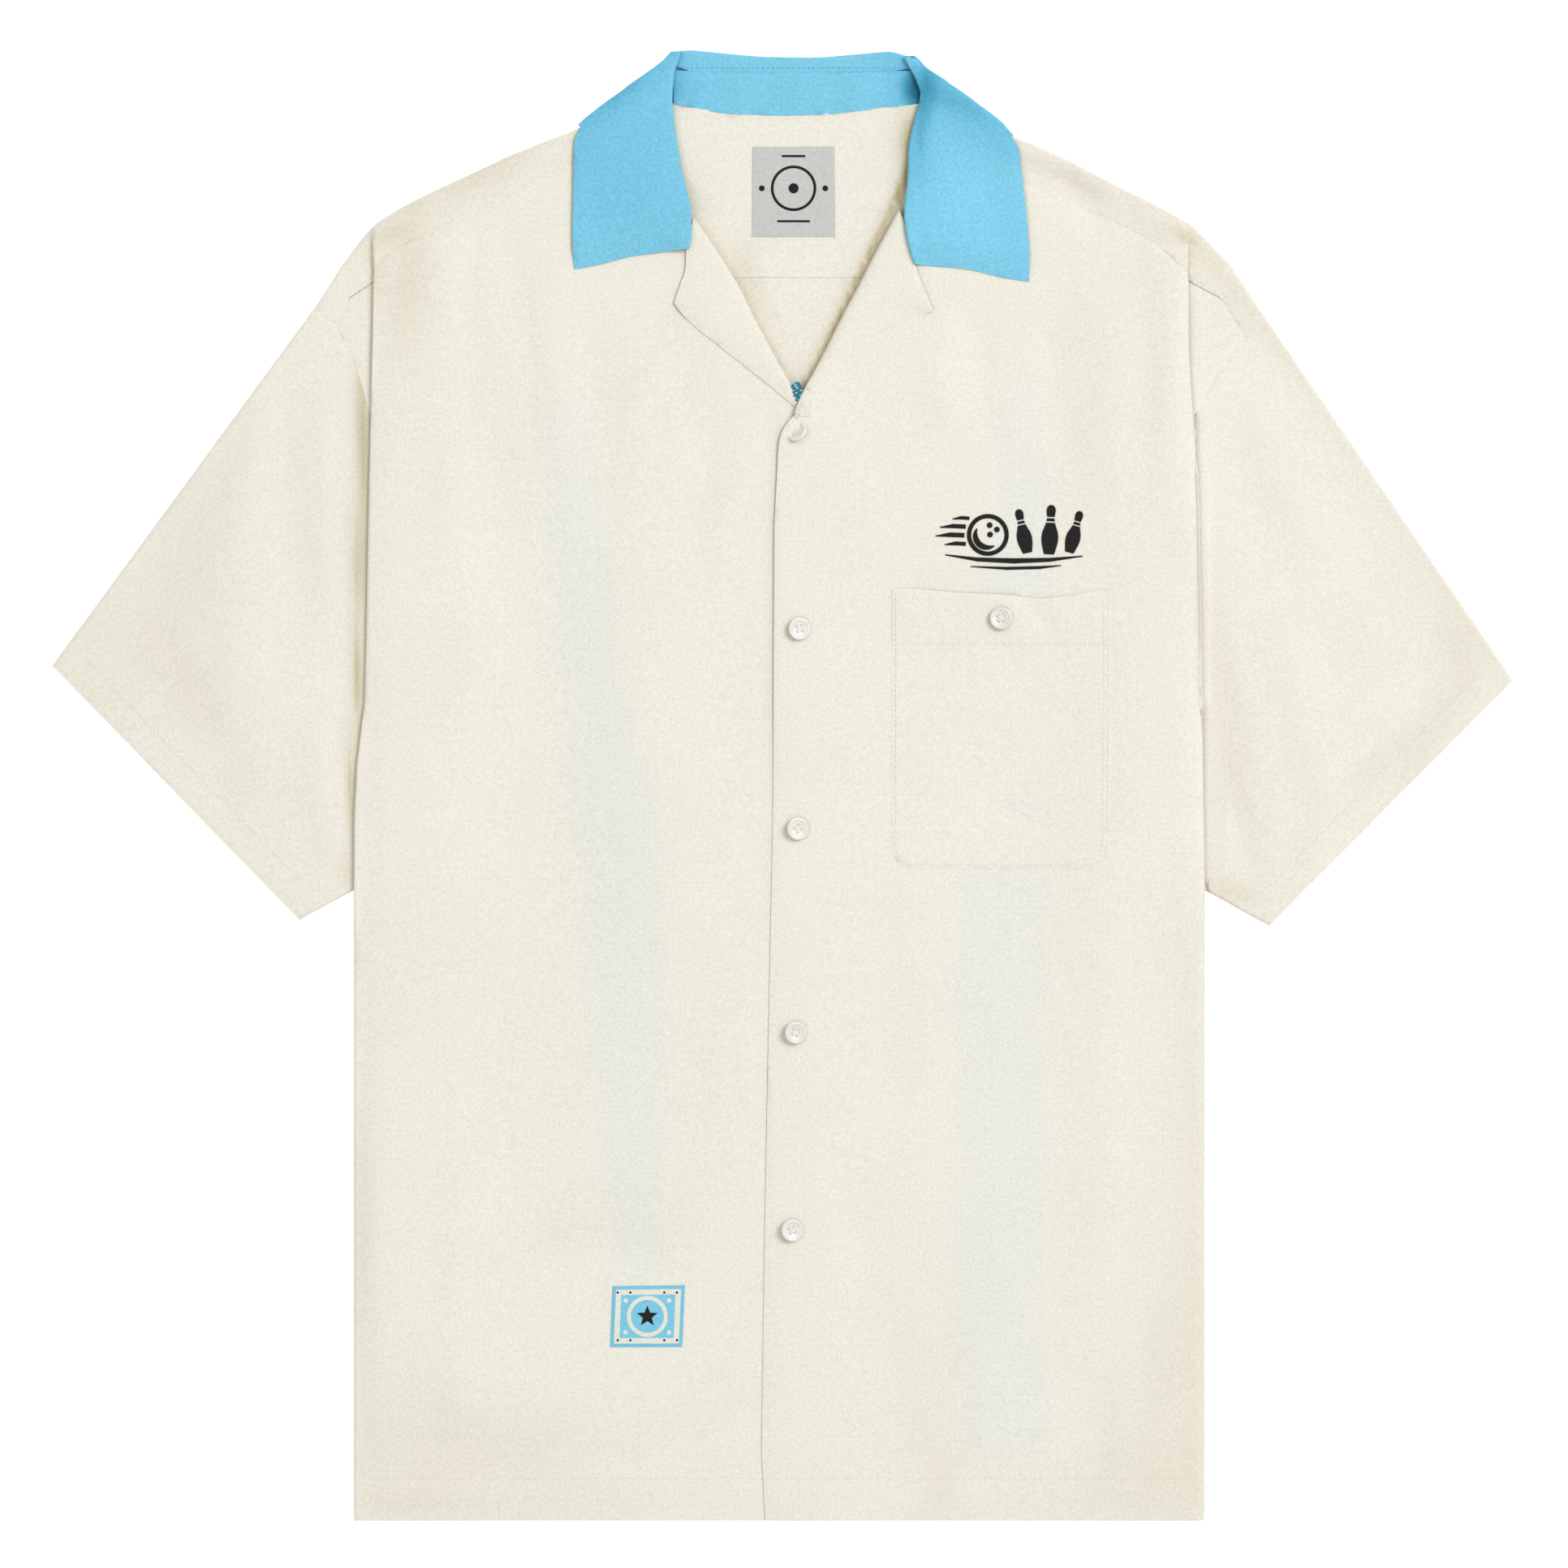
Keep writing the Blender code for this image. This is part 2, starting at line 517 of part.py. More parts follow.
def front_section_point(side, index, y):
    """Point of a front's side tuck: outer fold, strip, inner fold."""
    outward, drop = tuck_section(FRONT_TUCK, y, FOLD_RADIUS)[index]
    start = section_start(side, y, 0.0, FOLD_RADIUS)
    return start + outward, side_rise(side, y) - drop


def front_grid(side):
    """A front: the wall from the placket out, the side fold, the tuck and the armhole edge."""
    lower_seam = LOWER_SEAM[side]
    edge_y = lower_seam[-1][1] - SEAM / 2
    fold_y = front_seam_point(side, 1.0)[1]
    grid = []
    for row in body_shares(FRONT_LEVELS, edge_y):
        line = []
        for share in MAIN_SHARES[side]:
            y = lerp(HEM_Y, front_seam_point(side, share)[1] - SEAM / 2, row)
            distance = lerp(front_inner_edge(side, y), section_start(side, y, 0.0, FOLD_RADIUS), share)
            line.append((side * distance, y, front_z(side, side * distance, y)))
        for index in range(SECTION_POINTS):
            seam_y = lerp(fold_y, lower_seam[0][1], index / (SECTION_POINTS - 1))
            y = lerp(HEM_Y, seam_y - SEAM / 2, row)
            distance, z = front_section_point(side, index, y)
            line.append((side * distance, y, z))
        for step in range(1, STUB_STEPS + 1):
            share = step / STUB_STEPS
            seam_x = lerp(lower_seam[0][0], lower_seam[-1][0], share)
            y = lerp(HEM_Y, interpolate(lower_seam, seam_x) - SEAM / 2, row)
            start, _ = front_section_point(side, SECTION_POINTS - 1, y)
            distance = lerp(start, max(armhole_x(side, y) - SEAM / 2, start + MIN_STUB), share)
            sag = 0.0 if step == STUB_STEPS else STUB_SAG
            line.append((side * distance, y, sleeve_upper_z(side, side * distance, y) - sag))
        grid.append(line)
    return np.array(grid)


def tuck_cells(grid, levels, hooks):
    """Cells of a body panel: below the underarm the tuck ends at its inner edge."""
    cells = np.ones((grid.shape[0] - 1, grid.shape[1] - 1), dtype=bool)
    for hook in hooks:
        cells[:levels.index(UNDERARM_Y), hook] = False
    return cells


HOOK_COLUMNS = INNER_STEPS + STUB_STEPS


def build_front(side, name):
    grid = front_grid(side)
    return add_wall(name, grid, IVORY, tuck_cells(grid, FRONT_LEVELS, [slice(-HOOK_COLUMNS, None)]))


# ---------------------------------------------------------------- back
def back_seam_y(x):
    return interpolate(BACK_SEAM, abs(x))


def back_section_point(side, index, y):
    """Point of the back's side tuck, which turns up over its own outer wall."""
    outward, drop = tuck_section(BACK_TUCK, y, INNER_RADIUS)[index]
    return section_start(side, y, BACK_FOLD_INSET, INNER_RADIUS) + outward, FLOOR + drop


def back_side_line(side, row):
    """One row of the back's side: outer fold, strip, inner fold and armhole edge."""
    line = []
    for index in range(SECTION_POINTS):
        seam_y = back_seam_y(back_section_point(side, index, BACK_CORNER_Y)[0])
        y = lerp(HEM_Y, seam_y - SEAM / 2, row)
        distance, z = back_section_point(side, index, y)
        line.append((side * distance, y, z))
    last_x = back_section_point(side, SECTION_POINTS - 1, BACK_CORNER_Y)[0]
    for step in range(1, STUB_STEPS + 1):
        share = step / STUB_STEPS
        seam_y = back_seam_y(lerp(last_x, BACK_SEAM[-1][0], share))
        y = lerp(HEM_Y, seam_y - SEAM / 2, row)
        start, _ = back_section_point(side, SECTION_POINTS - 1, y)
        distance = lerp(start, max(armhole_x(side, y) - SEAM / 2, start + MIN_STUB), share)
        line.append((side * distance, y, sleeve_lower_z(side, side * distance, y)))
    return line


def back_main_x(side, share):
    """Place of a back column on the yoke's seam."""
    fold = section_start(side, BACK_CORNER_Y, BACK_FOLD_INSET, INNER_RADIUS)
    return side * lerp(SHOULDER[side][0][0], fold, share)


def back_grid():
    """The back: flat on the surface, tucked in at both sides, open to the sleeves."""
    main = [back_main_x(RIGHT, share) for share in reversed(BACK_MAIN_SHARES[RIGHT])]
    main += [lerp(main[-1], back_main_x(LEFT, 0.0), share) for share in spaced(3)[1:-1]]
    main += [back_main_x(LEFT, share) for share in BACK_MAIN_SHARES[LEFT]]
    grid = []
    for row in body_shares(BACK_LEVELS, BACK_SEAM[-1][1] - SEAM / 2):
        right, left = back_side_line(RIGHT, row), back_side_line(LEFT, row)
        line = list(reversed(right))
        top_start, top_end = back_main_x(RIGHT, 1.0), back_main_x(LEFT, 1.0)
        for top_x in main:
            share = (top_x - top_start) / (top_end - top_start)
            x = lerp(right[0][0], left[0][0], share)
            line.append((x, lerp(HEM_Y, back_seam_y(top_x) - SEAM / 2, row), FLOOR))
        grid.append(line + left)
    return np.array(grid)


def build_back(name):
    grid = back_grid()
    hooks = [slice(None, HOOK_COLUMNS), slice(-HOOK_COLUMNS, None)]
    return add_wall(name, grid, IVORY, tuck_cells(grid, BACK_LEVELS, hooks))


# ---------------------------------------------------------------- yoke
YOKE_TOP_ROWS = 3
YOKE_ARC_ROWS = 4
YOKE_LOW_ROWS = 5
NECK_STATIONS = 5
YOKE_FOLD_SPREAD = 5.0 # width of the yoke's side fold where it turns over the shoulder
YOKE_BLEND = 1.4       # how late the fold's section gives way to the shoulder's


def edge_top_z(side, x, y):
    """Height of the yoke's upper wall where it starts to turn over the shoulder."""
    if outside_fold(side, x, y) < 0.0:
        return front_z(side, x, y)
    return sleeve_upper_z(side, x, y)


def lower_wall_shares(top, seam):
    """Rows of the yoke's lower wall, placed to step down off the collar's edge."""
    edges = []
    for clearance in FALL_STEP_ROWS:
        share = 0.5
        for _ in range(12):
            x = lerp(top[0], seam[0], share)
            edge = fall_edge_y(x) - clearance
            share = (edge - top[1]) / (seam[1] - top[1])
        edges.append(share)
    if not 0.05 < edges[0] < edges[1] < 0.9:
        return spaced(YOKE_LOW_ROWS)
    return [0.0, edges[0] / 2, edges[0], edges[1], (edges[1] + 1.0) / 2, 1.0]


def yoke_profile(side, seam, shoulder, back):
    """One station of the yoke over a shoulder, from the front seam to the back seam."""
    seam, shoulder, back = (np.array(point) for point in (seam, shoulder, back))
    outward = unit(shoulder - lerp(seam, back, 0.5))
    top_z, low_z = edge_top_z(side, *shoulder), yoke_z(*shoulder)
    radius = (top_z - low_z) / 2
    centre = shoulder - outward * (radius + CLOTH / 2)
    points = [(*lerp(seam, centre, share), top_z) for share in spaced(YOKE_TOP_ROWS)]
    for step in range(1, YOKE_ARC_ROWS):
        angle = math.pi / 2 - math.pi * step / YOKE_ARC_ROWS
        place = centre + outward * radius * math.cos(angle)
        points.append((*place, low_z + radius + radius * math.sin(angle)))
    for share in lower_wall_shares(centre, back):
        place = lerp(centre, back, share)
        points.append((*place, yoke_z(*place)))
    return points


def yoke_top_wall(side, column, line):
    """Raise a station's upper wall to the height of the layer it belongs to."""
    fold_column = column - len(MAIN_SHARES[side])
    raised = list(line)
    for row in range(YOKE_TOP_ROWS + 1):
        x, y, edge_z = line[row]
        share = row / YOKE_TOP_ROWS
        if fold_column < 0:
            raised[row] = (x, y, front_z(side, x, y))
        elif fold_column < SECTION_POINTS:
            distance, z = front_section_point(side, fold_column, y)
            z = lerp(z, edge_z, smooth(share * YOKE_BLEND - (YOKE_BLEND - 1.0)))
            raised[row] = (lerp(side * distance, x, share), y, z)
        else:
            raised[row] = (x, y, sleeve_upper_z(side, x, y))
    return raised


def back_top_y(back_row, x):
    """Height of the yoke's edge over the back's top edge."""
    return float(np.interp(x, back_row[:, 0], back_row[:, 1])) + SEAM


def yoke_side(side, front_top, back_row):
    """Stations of the yoke over one shoulder, from the neck to the armhole."""
    neck, tip = SHOULDER[side][0][0], SHOULDER[side][-1][0]
    fold = section_start(side, YOKE_SIDE_Y, 0.0, FOLD_RADIUS)
    edge = back_row[:TUCK_COLUMNS][::-1] if side == RIGHT else back_row[-TUCK_COLUMNS:]
    lines = []
    for column, (seam_x, seam_y, seam_z) in enumerate(front_top):
        fold_column = column - len(MAIN_SHARES[side])
        if fold_column < 0:
            share = MAIN_SHARES[side][column]
            shoulder = lerp(neck, fold, share)
            back_x = back_main_x(side, share)
        else:
            share = min(fold_column / (SECTION_POINTS - 1), 1.0)
            stub = max(fold_column - SECTION_POINTS + 1, 0) / STUB_STEPS
            shoulder = lerp(fold + YOKE_FOLD_SPREAD * share, tip, stub)
            back_x = edge[fold_column][0]
        gap = SEAM if fold_column < ARC_STEPS else 2.0 * SEAM
        line = yoke_top_wall(side, column, yoke_profile(
            side, (seam_x, seam_y + gap), (side * shoulder, shoulder_y(side, shoulder)),
            (back_x, back_top_y(back_row, back_x))))
        line[0] = (*line[0][:2], seam_z)
        lines.append(line)
    return lines


def neck_place(share):
    """A place on the neckline seam, straight between the yoke's stations."""
    start, end = NECKLINE[0][0], NECKLINE[-1][0]
    knots = [lerp(start, end, step) for step in spaced(NECK_STATIONS)]
    x = lerp(start, end, share)
    return x, float(np.interp(x, knots, [interpolate(NECKLINE, knot) for knot in knots]))


def neck_station(share, seam_x, back_row):
    """A station of the yoke behind the neck, from the neckline to the back seam."""
    neck = neck_place(share)
    seam = (seam_x, back_top_y(back_row, seam_x))
    line = [(*neck, yoke_z(*neck))] * (YOKE_TOP_ROWS + YOKE_ARC_ROWS)
    for step in lower_wall_shares(neck, seam):
        place = (lerp(neck[0], seam[0], step), lerp(neck[1], seam[1], step))
        line.append((*place, yoke_z(*place)))
    return line


def yoke_grid(front_tops, back_row):
    """Stations of the yoke from the wearer's right armhole to the left one, and its cells."""
    right = yoke_side(RIGHT, front_tops[RIGHT], back_row)
    left = yoke_side(LEFT, front_tops[LEFT], back_row)
    middle = []
    for step, share in enumerate(spaced(NECK_STATIONS)):
        seam_x = lerp(right[0][-1][0], left[0][-1][0], (step + 1) / (NECK_STATIONS + 2))
        middle.append(neck_station(share, seam_x, back_row))
    grid = np.array(list(reversed(right)) + middle + left)
    cells = np.ones((grid.shape[0] - 1, grid.shape[1] - 1), dtype=bool)
    neck = slice(len(right) - 1, len(right) + len(middle))
    cells[neck, :YOKE_TOP_ROWS + YOKE_ARC_ROWS] = False
    return grid, cells


# ---------------------------------------------------------------- sleeves
SLEEVE_STATIONS = (0.0, 0.07, 0.15, 0.25, 0.38, 0.55, 0.75, 1.0)


def sleeve_corner(side, name):
    for corner, distance, y in SLEEVE_CORNERS[side]:
        if corner == name:
            return np.array((side * distance, y))
    raise ValueError(name)


def half_round(place, direction, top_z, low_z, steps):
    """Points of an edge fold between two walls, from the upper one down."""
    radius = (top_z - low_z) / 2
    points = []
    for step in range(1, steps):
        angle = math.pi / 2 - math.pi * step / steps
        spot = place + direction * radius * math.cos(angle)
        points.append((*spot, low_z + radius + radius * math.sin(angle)))
    return points


def sleeve_grid(side, front_edge, yoke_line, back_edge):
    """A flattened tube whose root ring follows the armhole edges of fronts, yoke and back."""
    arc_first = YOKE_TOP_ROWS + 1
    arc_last = YOKE_TOP_ROWS + YOKE_ARC_ROWS
    upper = [point[:2] for point in list(front_edge) + list(yoke_line[:arc_first])]
    lower = [point[:2] for point in list(yoke_line[arc_last:]) + list(back_edge)]
    top, bottom = sleeve_corner(side, "top"), sleeve_corner(side, "bottom")
    hem_way = unit(top - bottom)
    root_top_way = unit(np.array(yoke_line[arc_first + 1][:2]) - np.array(yoke_line[arc_first - 1][:2]))
    root_low_way = np.array((0.0, -1.0))
    radius = (STEP + sleeve_loft(side, *top)) / 2 + CLOTH / 2
    ends = top - hem_way * radius, bottom + hem_way * radius
    grid = []
    for station in SLEEVE_STATIONS:
        rings = []
        for wall in (upper, list(reversed(lower))):
            reach = np.cumsum([0.0] + [math.dist(a, b) for a, b in zip(wall, wall[1:])])
            line = []
            for place, share in zip(wall, reach / reach[-1]):
                spot = np.array(place) + np.array((side * SEAM, 0.0))
                line.append(lerp(spot, lerp(ends[1], ends[0], share), station))
            rings.append(line)
        upper_wall = [(*spot, sleeve_upper_z(side, *spot)) for spot in rings[0]]
        lower_wall = [(*spot, sleeve_lower_z(side, *spot)) for spot in reversed(rings[1])]
        top_way = unit(lerp(root_top_way, hem_way, station))
        low_way = unit(lerp(root_low_way, -hem_way, station))
        ring = upper_wall
        ring = ring + half_round(rings[0][-1], top_way, upper_wall[-1][2], lower_wall[0][2], YOKE_ARC_ROWS)
        ring = ring + lower_wall
        ring = ring + list(reversed(half_round(
            rings[0][0], low_way, upper_wall[0][2], lower_wall[-1][2], YOKE_ARC_ROWS)))
        grid.append(ring)
    return np.array(grid)


# ---------------------------------------------------------------- lapels
LAPEL_SHARES = (0.0, 0.35, 0.7, 1.0)
ROLL_STEPS = 4


def turn_under(place, way, top_z, low_z, steps, reach):
    """Points of an edge that turns under: round the fold, then back below the wall."""
    centre = np.array(place) - way * ((top_z - low_z) / 2 + CLOTH / 2)
    points = half_round(centre, way, top_z, low_z, steps)
    points.append((*centre, low_z))
    points.append((*(centre - way * reach), low_z))
    return points


def build_facing(side, name):
    """The facing where it is turned out as the lapel, rolled round the front's edge."""
    grid = []
    for roll_x, roll_y, edge_x, edge_y in LAPEL[side]:
        roll, edge = np.array((roll_x, roll_y)), np.array((edge_x, edge_y))
        way = unit(roll - edge)
        top_z = lapel_z(side, *roll)
        low_z = front_z(side, *roll) - STEP - SEAM
        start = roll - way * ((top_z - low_z) / 2 + CLOTH / 2)
        line = []
        for share in LAPEL_SHARES:
            place = lerp(edge, start, share)
            line.append((*place, lapel_z(side, *place)))
        grid.append(line + turn_under(roll, way, top_z, low_z, ROLL_STEPS, LAPEL_TURN_UNDER))
    return add_wall(name, grid, IVORY)


# ---------------------------------------------------------------- collar
FLAP_SHARES = (0.0, 0.3, 0.65, 1.0)
FOLD_STEPS = 5
# Stations behind the neck. Columns: x at the outer edge, x at the rolled top edge.
COLLAR_BACK = ((-100.0, -52.0), (-80.0, -46.0), (-52.0, -36.0), (-18.0, -13.0), (20.0, 20.0),
               (56.0, 42.0), (90.0, 54.0), (112.0, 61.0))


def flap_line(side, row):
    """One row of a collar flap: outer edge, roll edge and the cloth turned under to the neck."""
    roll_x, roll_y, edge_x, edge_y = FLAP[side][row]
    roll, edge = np.array((roll_x, roll_y)), np.array((edge_x, edge_y))
    way = unit(roll - edge)
    top_z = flap_z(side, *roll)
    at_seam = smooth((roll_y - FLAP_SEAM_Y[0]) / FLAP_SEAM_Y[1])
    low_z = lerp(top_z - STEP - ROLL_SPARE, front_z(side, *roll), at_seam)
    radius = (top_z - low_z) / 2
    start = roll - way * (radius + CLOTH / 2)
    sag = FLAP_SAG[side] if row == 0 else 0.0
    line = []
    for share in FLAP_SHARES:
        place = lerp(edge, start, share) + np.array((0.0, sag * 4.0 * share * (1.0 - share)))
        line.append((*place, flap_z(side, *place)))
    clear = front_inner_edge(side, roll_y) - SEAM - COLLAR_REACH_GAP - side * start[0]
    reach = lerp(COLLAR_MIN_REACH, max(clear, COLLAR_MIN_REACH), at_seam)
    return line + turn_under(roll, way, top_z, low_z, ROLL_STEPS, reach)


def fold_curve(side):
    """Places along the collar's fold over the shoulder, from its outer to its inner end."""
    outer_x, outer_y, bow_x, bow_y, inner_x, inner_y = COLLAR_FOLD[side]
    xs, ys = (outer_x, bow_x, inner_x), (outer_y, bow_y, inner_y)
    return [np.array((float(np.interp(share, (0.0, 0.5, 1.0), xs)),
                      float(np.interp(share, (0.0, 0.5, 1.0), ys)))) for share in FLAP_SHARES]


def fold_lines(side):
    """Stations of the collar round its fold over the shoulder, from the flap to the back."""
    curve = fold_curve(side)
    along = unit(curve[-1] - curve[0])
    outward = np.array((-along[1], along[0]))
    if outward[1] < 0.0:
        outward = -outward
    lines = []
    for step in range(FOLD_STEPS + 1):
        angle = math.pi / 2 - math.pi * step / FOLD_STEPS
        line = []
        for place in curve:
            top_z = flap_z(side, *place)
            radius = (top_z - FLOOR) / 2
            centre = place - outward * (radius + CLOTH / 2)
            spot = centre + outward * radius * math.cos(angle)
            line.append((*spot, FLOOR + radius + radius * math.sin(angle)))
        end = curve[-1]
        radius = (flap_z(side, *end) - FLOOR) / 2
        inner = radius - 2 * INNER_RADIUS
        centre = end - outward * (radius + CLOTH / 2)
        for turn in range(1, ROLL_STEPS + 1):
            bend = math.pi * turn / ROLL_STEPS
            ring = radius - INNER_RADIUS * (1.0 - math.cos(bend))
            spot = centre + outward * ring * math.cos(angle) + along * INNER_RADIUS * math.sin(bend)
            line.append((*spot, FLOOR + radius + ring * math.sin(angle)))
        spot = centre + outward * inner * math.cos(angle) - along * COLLAR_TURN_UNDER
        line.append((*spot, FLOOR + radius + inner * math.sin(angle)))
        lines.append(line)
    return lines


def back_line(outer_x, roll_x):
    """One station behind the neck: fall on the surface, rolled edge and strip to the stand."""
    roll = np.array((roll_x, interpolate(ROLL_TOP, roll_x)))
    way = np.array((0.0, 1.0))
    start = roll - way * ((STAND_RISE - FLOOR) / 2 + CLOTH / 2)
    outer = np.array((outer_x, fall_edge_y(outer_x)))
    line = [(*lerp(outer, start, share), FLOOR) for share in FLAP_SHARES]
    rise = half_round(start, way, STAND_RISE, FLOOR, ROLL_STEPS)
    line += list(reversed(rise))
    line.append((*start, STAND_RISE))
    line.append((start[0], STAND_TOP_Y + SEAM / 2, STAND_RISE))
    return line


def build_collar_leaf(name):
    """The collar from the tip of one flap, under the back of the neck, to the other tip."""
    grid = [flap_line(RIGHT, row) for row in range(len(FLAP[RIGHT]))] + fold_lines(RIGHT)
    grid += [back_line(*station) for station in COLLAR_BACK]
    grid += list(reversed(fold_lines(LEFT)))
    grid += [flap_line(LEFT, row) for row in reversed(range(len(FLAP[LEFT])))]
    return add_wall(name, grid, SKY)


def build_collar_stand(name):
    """The band inside the neck, from the neckline seam up to the leaf."""
    grid = []
    for share in spaced(2 * NECK_STATIONS):
        x, y = neck_place(share)
        neck = np.array((x, y + SEAM))
        top = np.array((lerp(STAND_END_X[0], STAND_END_X[1], share), STAND_TOP_Y - SEAM / 2))
        grid.append([(*lerp(neck, top, step), lerp(yoke_z(*neck), STAND_RISE, smooth(step)))
                     for step in spaced(3)])
    return add_wall(name, grid, SKY)


# ---------------------------------------------------------------- pieces sewn on
POCKET_COLUMNS = (0.0, 0.025, 0.09, 0.3, 0.52, 0.68, 0.86, 0.91, 0.975, 1.0)
POCKET_ROWS = 8


def height_reader(panel):
    """A function that gives the height of a panel's upper face at a place."""
    mesh = panel.data
    places = [vertex.co.copy() for vertex in mesh.vertices]
    tree = BVHTree.FromPolygons(places, [tuple(face.vertices) for face in mesh.polygons])

    def height(x, y):
        hit = tree.ray_cast(Vector((x * MM, y * MM, 1.0)), Vector((0.0, 0.0, -1.0)))[0]
        return hit.z / MM if hit else -math.inf
    return height


def rests_on(height, x, y, around):
    """Middle of a wall laid on a panel, clear of its facets near the place."""
    nearby = [height(x + side * around, y + way * around)
              for side in (-1, 0, 1) for way in (-1, 0, 1)]
    return max(height(x, y), sum(nearby) / len(nearby)) + LAYER + CLOTH / 2


def pocket_bottom(x):
    """Lower edge of the pocket, rounded at its corners."""
    inset = min(x - POCKET_LEFT_X, POCKET_RIGHT_X - x)
    rest = max(POCKET_CORNER - max(inset, 0.0), 0.0)
    return POCKET_BOTTOM_Y + POCKET_CORNER - math.sqrt(POCKET_CORNER ** 2 - rest ** 2)


def build_pocket(name, height):
    """The patch pocket, a little open at its mouth."""
    grid = []
    for row in spaced(POCKET_ROWS):
        line = []
        for share in POCKET_COLUMNS:
            low_x = lerp(POCKET_LEFT_X, POCKET_RIGHT_X, share)
            top_x = lerp(POCKET_MOUTH[0][0], POCKET_MOUTH[-1][0], share)
            y = lerp(pocket_bottom(low_x), interpolate(POCKET_MOUTH, top_x), row)
            x = lerp(low_x, top_x, row)
            gape = POCKET_GAPE * smooth(row * 4.0 - 3.0) * math.sin(math.pi * share)
            line.append((x, y, rests_on(height, x, y, POCKET_PROBE) + POCKET_LIFT + gape))
        grid.append(line)
    return add_wall(name, grid, IVORY)


def build_patch(name, corners, height, finish, columns, rows):
    """A flat four-cornered piece that follows the panel under it."""
    low_left, low_right, top_right, top_left = [np.array(corner) for corner in corners]
    grid = []
    for row in spaced(rows):
        line = []
        for share in spaced(columns):
            place = lerp(lerp(low_left, low_right, share), lerp(top_left, top_right, share), row)
            line.append((*place, rests_on(height, *place, PATCH_PROBE) + PATCH_LIFT))
        grid.append(line)
    return add_wall(name, grid, finish)


# ---------------------------------------------------------------- buttons
# Section of a button. Columns: radius, height above its back.
BUTTON_SECTION = ((5.4, 0.0), (6.3, 0.7), (6.3, 1.5), (5.8, 2.2), (4.9, 2.2), (4.1, 1.5))
BUTTON_SEGMENTS = 20
HOLE_SEGMENTS = 8


def ring_points(centre_x, centre_y, radius, height, segments):
    return [Vector((centre_x + radius * math.cos(math.tau * step / segments),
                    centre_y + radius * math.sin(math.tau * step / segments), height))
            for step in range(segments)]


def join_rings(work, first, second):
    for index, vertex in enumerate(first):
        after = (index + 1) % len(first)
        work.faces.new((vertex, first[after], second[after], second[index]))


def close_with_holes(work, rings):
    """Fill the area inside the first ring of vertices and outside the others."""
    flat = [vertex for ring in rings for vertex in ring]
    for corners in tessellate_polygon([[vertex.co for vertex in ring] for ring in rings]):
        work.faces.new([flat[corner] for corner in corners])


def build_button(name, x, y, lean_x, lean_y, height):
    """A sew-through button: raised rim, dished middle and four holes."""
    work = bmesh.new()
    rings = [[work.verts.new(point) for point in ring_points(0, 0, radius, up, BUTTON_SEGMENTS)]
             for radius, up in BUTTON_SECTION]
    for first, second in zip(rings, rings[1:]):
        join_rings(work, first, second)
    offset = BUTTON_HOLE_SPACING / 2
    caps = {0: [rings[0]], -1: [rings[-1]]}
    for hole_x in (-offset, offset):
        for hole_y in (-offset, offset):
            ends = [[work.verts.new(point) for point in
                     ring_points(hole_x, hole_y, BUTTON_HOLE / 2, BUTTON_SECTION[cap][1],
                                 HOLE_SEGMENTS)] for cap in (0, -1)]
            caps[0].append(ends[0])
            caps[-1].append(ends[1])
            join_rings(work, *ends)
    for cap in caps.values():
        close_with_holes(work, cap)
    bmesh.ops.triangulate(work, faces=work.faces, quad_method="SHORT_EDGE")
    bmesh.ops.recalc_face_normals(work, faces=work.faces)
    lean = Euler((math.radians(lean_x), math.radians(lean_y), 0.0)).to_matrix()
    radius = BUTTON_DIAMETER / 2
    ground = max(height(x + radius * way_x, y + radius * way_y)
                 for way_x in (-1, 0, 1) for way_y in (-1, 0, 1))
    low = min((lean @ vertex.co).z for vertex in work.verts)
    base = Vector((x, y, ground + LAYER - low))
    for vertex in work.verts:
        vertex.co = (lean @ vertex.co + base) * MM
    return add_object(name, work, PEARL)


# ---------------------------------------------------------------- main
def clear_scene():
    for thing in list(bpy.data.objects):
        bpy.data.objects.remove(thing, do_unlink=True)


def build_body():
    """The panels of the shirt, which share the points of their seams."""
    fronts = {side: front_grid(side) for side in (RIGHT, LEFT)}
    back = back_grid()
    yoke, yoke_cells = yoke_grid({side: fronts[side][-1] for side in fronts}, back[-1])
    panels = {"back": build_back("back"), "yoke": add_wall("yoke", yoke, IVORY, yoke_cells)}
    for side, name in ((RIGHT, "right"), (LEFT, "left")):
        panels["front_" + name] = build_front(side, "front_" + name)
        column = 0 if side == RIGHT else -1
        sleeve = sleeve_grid(side, fronts[side][FRONT_LEVELS.index(UNDERARM_Y):, -1], yoke[column],
                             back[BACK_LEVELS.index(UNDERARM_Y):, column][::-1])
        panels["sleeve_" + name] = add_wall("sleeve_" + name, sleeve, IVORY, wrap=True)
    return panels


def main():
    clear_scene()
    panels = build_body()
    build_facing(RIGHT, "facing_right")
    lapel = build_facing(LEFT, "facing_left")
    build_collar_leaf("collar_leaf")
    build_collar_stand("collar_stand")
    on_left = height_reader(panels["front_left"])
    pocket = build_pocket("pocket", on_left)
    build_patch("neck_label", LABEL_CORNERS, height_reader(panels["yoke"]), WHITE, 2, 6)
    build_patch("hem_patch", PATCH_CORNERS, height_reader(panels["front_right"]), SKY, 3, 3)
    on_lapel = height_reader(lapel)
    for name, x, y, lean_x, lean_y in BUTTONS:
        under = {"button_pocket": height_reader(pocket), "button_1": on_lapel}.get(name, on_left)
        build_button(name, x, y, lean_x, lean_y, under)


main()
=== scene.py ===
"""Looks of a bowling shirt laid flat: cloth, stitching, buttons, label, patch and embroidery.

Tables are in millimetres and meshes in metres. +X runs to the wearer's left, +Y from the hem to
the collar and +Z up from the surface that the shirt lies on.
"""

import math

